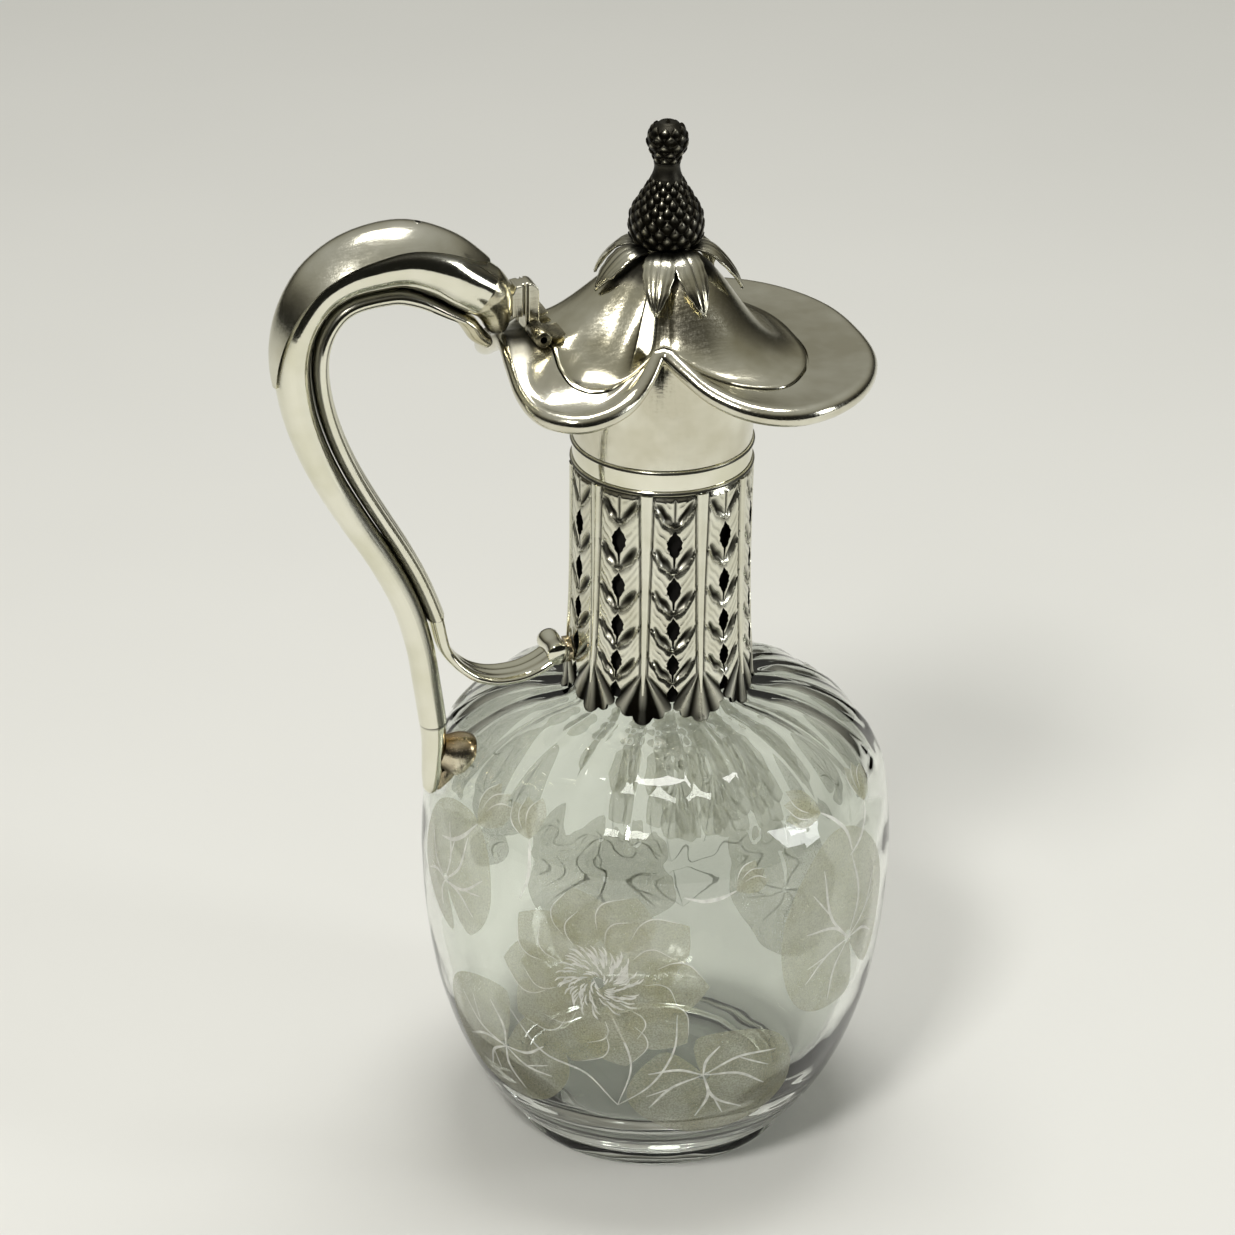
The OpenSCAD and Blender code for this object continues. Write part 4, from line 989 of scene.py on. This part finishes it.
# Painted shadow with some tarnish lies under the leaf's edge, and dark polish stays in the seam with the
# inner strip
t = np.arange(STEM_SIDES) * 360 / STEM_SIDES
off_leaf = np.abs(np.abs(t - 180)[None, :] - LEAF_REACH * leaf_swell[:, None] - 3)
leaf_edge_shadow = np.exp(-(off_leaf / 8) ** 2) * ((leaf_u > 0) & (leaf_u < 1))[:, None]
seam = np.abs(np.abs(stem_wide[:, None] * np.sin(np.radians(t))[None, :]) - 3.9)
seam = np.exp(-(seam / 0.55) ** 2) * (np.cos(np.radians(t)) > 0)[None, :]
piece("handle_stem_tube", skin(tube(stem, stem_thick, stem_wide, STEM_SIDES)), plain_silver,
      nodes=["handle_outer_stem"], sharp=50, tarnish_and_shade=np.maximum(0.85 * leaf_edge_shadow, 0.8 * seam))

reed_at = np.arange(0, 29 * FINE // 2 + 1)
thin = np.interp(reed_at, [0, 5 * FINE // 2], [1.4, 2.3])
reed_line = eased(stem[reed_at] + stem_n[reed_at] * (stem_thick[reed_at] + GAP + thin)[:, None], 12)
REED_SIDES = 64
REED_DEEP = 0.17
t = round_steps(REED_SIDES)
# The strip's section is an oval with two sunk lines, and a shallower one beside each: three reeds
sunk = REED_DEEP * sum(much * np.exp(-((np.degrees(t) % 360 - at) / wide) ** 2)
                       for at, much, wide in [(62, 1, 7), (298, 1, 7), (30, 0.5, 6), (330, 0.5, 6)])
reeded = np.stack([np.cos(t) * (1 - sunk), np.sin(t) * (1 - sunk)], 1)
# The sunk lines are darkened, and the side that lies against the stem is painted shade
reed_lines_and_shade = np.maximum(0.75 * np.clip(sunk / REED_DEEP, 0, 1), 0.7 * (np.cos(t) < -0.35))
piece("handle_reed_strip", skin(tube(reed_line, thin, np.full(len(thin), 4.0), REED_SIDES, reeded)),
      plain_silver, nodes=["handle_inner_stem"], sharp=60, tarnish_and_shade=np.tile(reed_lines_and_shade, len(reed_line)))

# The cast end: the outer tube closes in a blunt bulb against the hinge's lug, and the strip runs down
# beside it into a heel that stands on the lip's roll
END_SIDES, HEEL_SIDES = 48, 32
end_line = curve([(-49.5, 243.5), (-47.9, 242.4), (-46.3, 240.6), (-45, 238.2), (-44.3, 235.4),
                  (-44.1, 232.8), (-44.2, 230.6)], FINE)
end_run = np.linspace(0, 6, len(end_line))
end_at = [0, 1, 2, 3, 4, 5, 5.6, 6]
bulb = skin(tube(end_line, np.interp(end_run, end_at, [6.6, 6.88, 6.5, 5.5, 4.2, 3.1, 2.4, 1.2]),
                 np.interp(end_run, end_at, [6.5, 6.78, 6.5, 5.8, 4.9, 4.1, 3.3, 1.8]), END_SIDES))
HEEL_CURVE = [(-51.2, 233.9), (-49.4, 231.2), (-47.3, 229.2), (-45.6, 228.2)]
heel_line = curve(np.vstack([reed_line[[4, 1]], HEEL_CURVE]), FINE)
heel_run = np.linspace(0, 5, len(heel_line))
heel_at = [0, 1, 2, 3, 4.5, 5]
heel = skin(tube(heel_line, np.interp(heel_run, heel_at, [1.2, 1.5, 2.1, 2.2, 1.7, 0.8]),
                 np.interp(heel_run, heel_at, [3.6, 3.95, 3.9, 3.7, 3.3, 2]), HEEL_SIDES))
end_silver = silver("handle_end_silver", "#d9d4bd", "#b3ac8d", 0.12, 0.35, hollow="#2e2a20", wear=0.9)
# Painted shade darkens the end where it meets the lug and the lip
end_shade = np.repeat(np.clip((end_run - 4.2) / 1.4, 0, 0.85), END_SIDES)
heel_shade = np.repeat(np.clip(heel_run - 4, 0, 0.8), HEEL_SIDES)
piece("handle_end", joined([bulb, heel]), end_silver, nodes=["handle_terminal"], sharp=60,
      tarnish_and_shade=np.concatenate([end_shade, heel_shade]))

# The thumb leaf: a crescent in section, thickest along its middle
THUMB_HALF = 10                 # half the leaf's width where it is widest
rings = []
for i in range(LEAF_FIRST, LEAF_LAST + 1):
    swell = leaf_swell[i]
    a, b = stem_thick[i] + GAP, stem_wide[i] + GAP
    wide = (THUMB_HALF - b) * swell
    v = np.linspace(-1, 1, 33)
    t = np.radians(LEAF_REACH * swell * v)
    under = np.stack([-a * np.cos(t), b * np.sin(t)], 1)
    lift = 0.35 + 1.6 * swell * (1 - v * v * 0.75)
    over = np.stack([-(a + lift) * np.cos(t), (b + np.maximum(0.35, wide * v * v)) * np.sin(t)], 1)[::-1]
    ring = np.vstack([under, over])
    flat = stem[i] + np.outer(ring[:, 0], stem_n[i])
    rings.append(np.stack([flat[:, 0], ring[:, 1], flat[:, 1]], 1))
piece("thumb_leaf", skin(np.array(rings)), worn_silver, nodes=["handle_thumb_leaf"], sharp=50)
# The vent hole in the top of the leaf: a small pit painted dark as shade, with a worn rim
i = int(np.argmin(np.abs(stem[:6 * FINE, 0] + 66)))
top = stem_thick[i] + 0.4 + 1.6 * leaf_swell[i]
vent = []
t = round_steps(24)
for radius, proud in [(0.01, 0.01), (0.62, 0.015), (0.8, 0.03), (0.95, 0.05), (1.15, -0.06)]:
    flat = stem[i] - stem_n[i] * (top + proud) + np.outer(radius * np.cos(t), [-stem_n[i][1], stem_n[i][0]])
    vent.append(np.stack([flat[:, 0], radius * np.sin(t), flat[:, 1]], 1))
piece("vent_hole", skin(np.array(vent), caps=False), worn_silver,
      tarnish_and_shade=np.repeat([1, 1, 0.9, 0.1, 0], len(t)))

# ---- Strut -----------------------------------------------------------------------------------
# The inner strip runs on past the tail of the stem, widens, and curls up to the collar. Its long edges
# are rolled, so its face is a shallow trough, and its end is wound into a small scroll.

STRUT_CURVE = [(-58.4, 146.4), (-55.8, 142), (-53, 139), (-49.4, 136.5), (-44.5, 135), (-38.4, 135),
               (-33.6, 136.4), (-30, 138.4)]
strut_line = curve(np.vstack([[reed_line[-1] + [0.02, -0.1]], STRUT_CURVE]), FINE)
run = np.arange(len(strut_line)) * 2 / FINE
strut_thick = np.interp(run, [0, 4], [2.3, 1.9])
strut_wide = np.interp(run, [0, 8], [4.0, 5.0])
t = round_steps(REED_SIDES)
edge = np.abs(np.sin(t))
hollow = 1 - 0.42 * np.exp(-((edge - 0.25) / 0.38) ** 2)
trough = np.stack([np.cos(t) * hollow, np.sin(t)], 1)
SCROLL_X, SCROLL_Z, SCROLL_R = -28.6, 140.6, 3.0
SCROLL_HALF = 5.0
scroll = []
t = round_steps(48)
for y in np.concatenate([[-SCROLL_HALF], np.linspace(-4.6, 4.6, 13), [SCROLL_HALF]]):
    r = SCROLL_R - (0.5 if abs(y) == SCROLL_HALF else 0.35 * math.exp(-(y / 2.6) ** 2))
    scroll.append(np.stack([SCROLL_X + r * np.cos(t), np.full(len(t), y), SCROLL_Z + r * np.sin(t)], 1))
strut_band = skin(tube(strut_line, strut_thick, strut_wide, REED_SIDES, trough))
piece("collar_strut", joined([strut_band, skin(np.array(scroll))]), plain_silver, nodes=["handle_strut"],
      sharp=60)

# ---- Tail and socket -------------------------------------------------------------------------
# The outer tube ends in a white tail with a hairline seam. A cast cup, gone yellow brown with heat and
# old cement, grips the glass lug beside it, and a thin web ties the cup to the tail's point.

tail_line = curve([(-61.0, 124.3), (-60.8, 119), (-61.1, 113), (-61.5, 108), (-61.8, 103.8)], FINE)
run = np.linspace(0, 1, len(tail_line))
tail_at = [0, 0.3, 0.7, 0.93, 1]
tail = skin(tube(tail_line, np.interp(run, tail_at, [3.4, 3.0, 2.5, 1.9, 0.9]),
                 np.interp(run, tail_at, [4.25, 3.9, 3.3, 2.4, 1.2]), 48))
piece("stem_tail", tail, plain_silver, nodes=["tail_socket"], sharp=60,
      tarnish_and_shade=np.repeat(np.where(run < 0.02, 0.9, 0), 48))
cup_points, cup_faces = skin(round_the_lug([(1.0, 4.4), (1.1, 5.4), (2.0, 5.8), (3.4, 5.9), (5.0, 5.7),
                                            (6.4, 5.2), (7.6, 4.6), (9.2, 4.1)], 48, squash=0.9))
web = across([(-61.2, 104.6), (-59.6, 104.8), (-57.2, 106.6), (-54.6, 108.6), (-55.6, 110.4), (-58.6, 110),
              (-60.4, 108.6)], 1.5)
# Blotches of dark all over the cup, and painted shade for a black notch in the mouth that faces the tail
blotch = random.Random(8)
notch = np.exp(-((cup_points[:, 0] + 58.6) / 1.6) ** 2 - ((cup_points[:, 2] - 110.6) / 2.4) ** 2)
cup_blotches_and_shade = np.array([blotch.uniform(0, 0.22) for _ in cup_points]) + 0.8 * notch
piece("socket_cup", joined([(cup_points, cup_faces), web]), warm_silver, sharp=60,
      tarnish_and_shade=np.concatenate([cup_blotches_and_shade, np.full(len(web[0]), 0.1)]))

# ---- Floor, light and camera -----------------------------------------------------------------
# A pale paper sweep, a soft box overhead, a smaller lamp at the left in front, a weak one at the right,
# and a quiet grey room around them. None of this is part of the jug.

SWEEP_FRONT = -0.7              # metres: the sweep ends here, so that the dark front shows in the metal
mesh = bpy.data.meshes.new("floor")
bm = bmesh.new()
bmesh.ops.create_grid(bm, x_segments=2, y_segments=2, size=4.0)
for vert in bm.verts:
    vert.co.y = max(vert.co.y, SWEEP_FRONT)
bm.to_mesh(mesh)
bm.free()
floor = bpy.data.objects.new("floor", mesh)
bpy.context.scene.collection.objects.link(floor)
# Uncoated paper: no gloss, and clouds in its fibre too faint to draw the eye
paper, tree, shader = new_material("pale_paper")
place = node(tree, "ShaderNodeTexCoord", {}, {})
fibre = node(tree, "ShaderNodeTexNoise", {}, {"Vector": place.outputs["Object"], "Scale": 6.0,
                                              "Detail": 3.0})
shade = node(tree, "ShaderNodeValToRGB", {}, {"Fac": fibre.outputs["Fac"]})
shade.color_ramp.elements[0].color = colour("#d9d9d5")
shade.color_ramp.elements[1].color = colour("#dfdfdb")
tree.links.new(shade.outputs["Color"], shader.inputs["Base Color"])
shader.inputs["Roughness"].default_value = 0.85
mesh.materials.append(paper)

world = bpy.data.worlds.new("room")
bpy.context.scene.world = world
world.use_nodes = True
tree = world.node_tree
place = node(tree, "ShaderNodeTexCoord", {}, {})
split = node(tree, "ShaderNodeSeparateXYZ", {}, {"Vector": place.outputs["Generated"]})
# The room is dark in front and low down, and pale above and behind the jug
depth = node(tree, "ShaderNodeMath", {"operation": "MULTIPLY"}, {0: split.outputs["Y"], 1: 0.2})
level = node(tree, "ShaderNodeMath", {"operation": "MULTIPLY_ADD"},
             {0: split.outputs["Z"], 1: 0.8, 2: depth.outputs["Value"]})
walls = node(tree, "ShaderNodeValToRGB", {}, {"Fac": level.outputs["Value"]})
ramp = walls.color_ramp
ramp.elements[0].position, ramp.elements[0].color = 0.0, (0.012, 0.012, 0.010, 1)
ramp.elements[1].position, ramp.elements[1].color = 1.0, (0.5, 0.5, 0.48, 1)
for position, shade in [(0.15, (0.02, 0.019, 0.015, 1)), (0.3, (0.10, 0.094, 0.075, 1)),
                        (0.42, (0.27, 0.262, 0.22, 1)), (0.6, (0.38, 0.378, 0.34, 1))]:
    ramp.elements.new(position).color = shade
# Seen straight on, the room is as pale as the sweep
rays = node(tree, "ShaderNodeLightPath", {}, {})
seen = node(tree, "ShaderNodeMix", {"data_type": "RGBA"}, {0: rays.outputs["Is Camera Ray"],
                                                          6: walls.outputs["Color"], 7: colour("#ecece4")})
tree.links.new(seen.outputs[2], tree.nodes["Background"].inputs["Color"])
tree.nodes["Background"].inputs["Strength"].default_value = 1.0


def soft_box(name, place, aim, wide, tall, watts, tint):
    """A rectangular lamp at a place in metres, facing a point."""
    lamp = bpy.data.lights.new(name, "AREA")
    lamp.shape, lamp.size, lamp.size_y, lamp.energy, lamp.color = "RECTANGLE", wide, tall, watts, tint
    obj = bpy.data.objects.new(name, lamp)
    bpy.context.scene.collection.objects.link(obj)
    obj.location = place
    obj.rotation_euler = (Vector(aim) - Vector(place)).to_track_quat("-Z", "Y").to_euler()


soft_box("overhead", (0.1, 0.2, 1.6), (0, 0, 0.1), 0.7, 0.5, 12, (1, 0.99, 0.97))
soft_box("left_front", (-0.75, -0.85, 1.35), (0, 0, 0.13), 0.3, 0.3, 14, (1, 0.98, 0.95))
soft_box("right_front", (1.1, -0.7, 0.5), (0, 0, 0.13), 0.25, 0.6, 4, (0.97, 0.99, 1))

# The camera: 1.2 m away, 27.6 degrees above the horizon, 20 degrees to the handle's side, tilted 1 degree
EYE_FAR = 1.2
azimuth, elevation, roll_angle = math.radians(-20), math.radians(27.558), math.radians(1.026)
back = Vector((math.sin(azimuth) * math.cos(elevation), -math.cos(azimuth) * math.cos(elevation),
               math.sin(elevation)))
right = Vector((math.cos(azimuth), math.sin(azimuth), 0))
above = back.cross(right)
right, above = (right * math.cos(roll_angle) + above * math.sin(roll_angle),
                above * math.cos(roll_angle) - right * math.sin(roll_angle))
middle = Vector((0, 0, 0.14))
eye = middle + back * EYE_FAR
# It looks a little past the jug's middle, as the photograph is framed
back = (eye - (middle - right * 0.01064 + above * 0.0039)).normalized()
right = (right - back * right.dot(back)).normalized()
above = back.cross(right)
camera_data = bpy.data.cameras.new("camera")
camera_data.lens, camera_data.sensor_width, camera_data.clip_end = 135.8, 36, 20
camera = bpy.data.objects.new("camera", camera_data)
bpy.context.scene.collection.objects.link(camera)
camera.matrix_world = Matrix((right, above, back)).transposed().to_4x4()
camera.location = eye
bpy.context.scene.camera = camera
bpy.context.scene.view_settings.view_transform = "Standard"
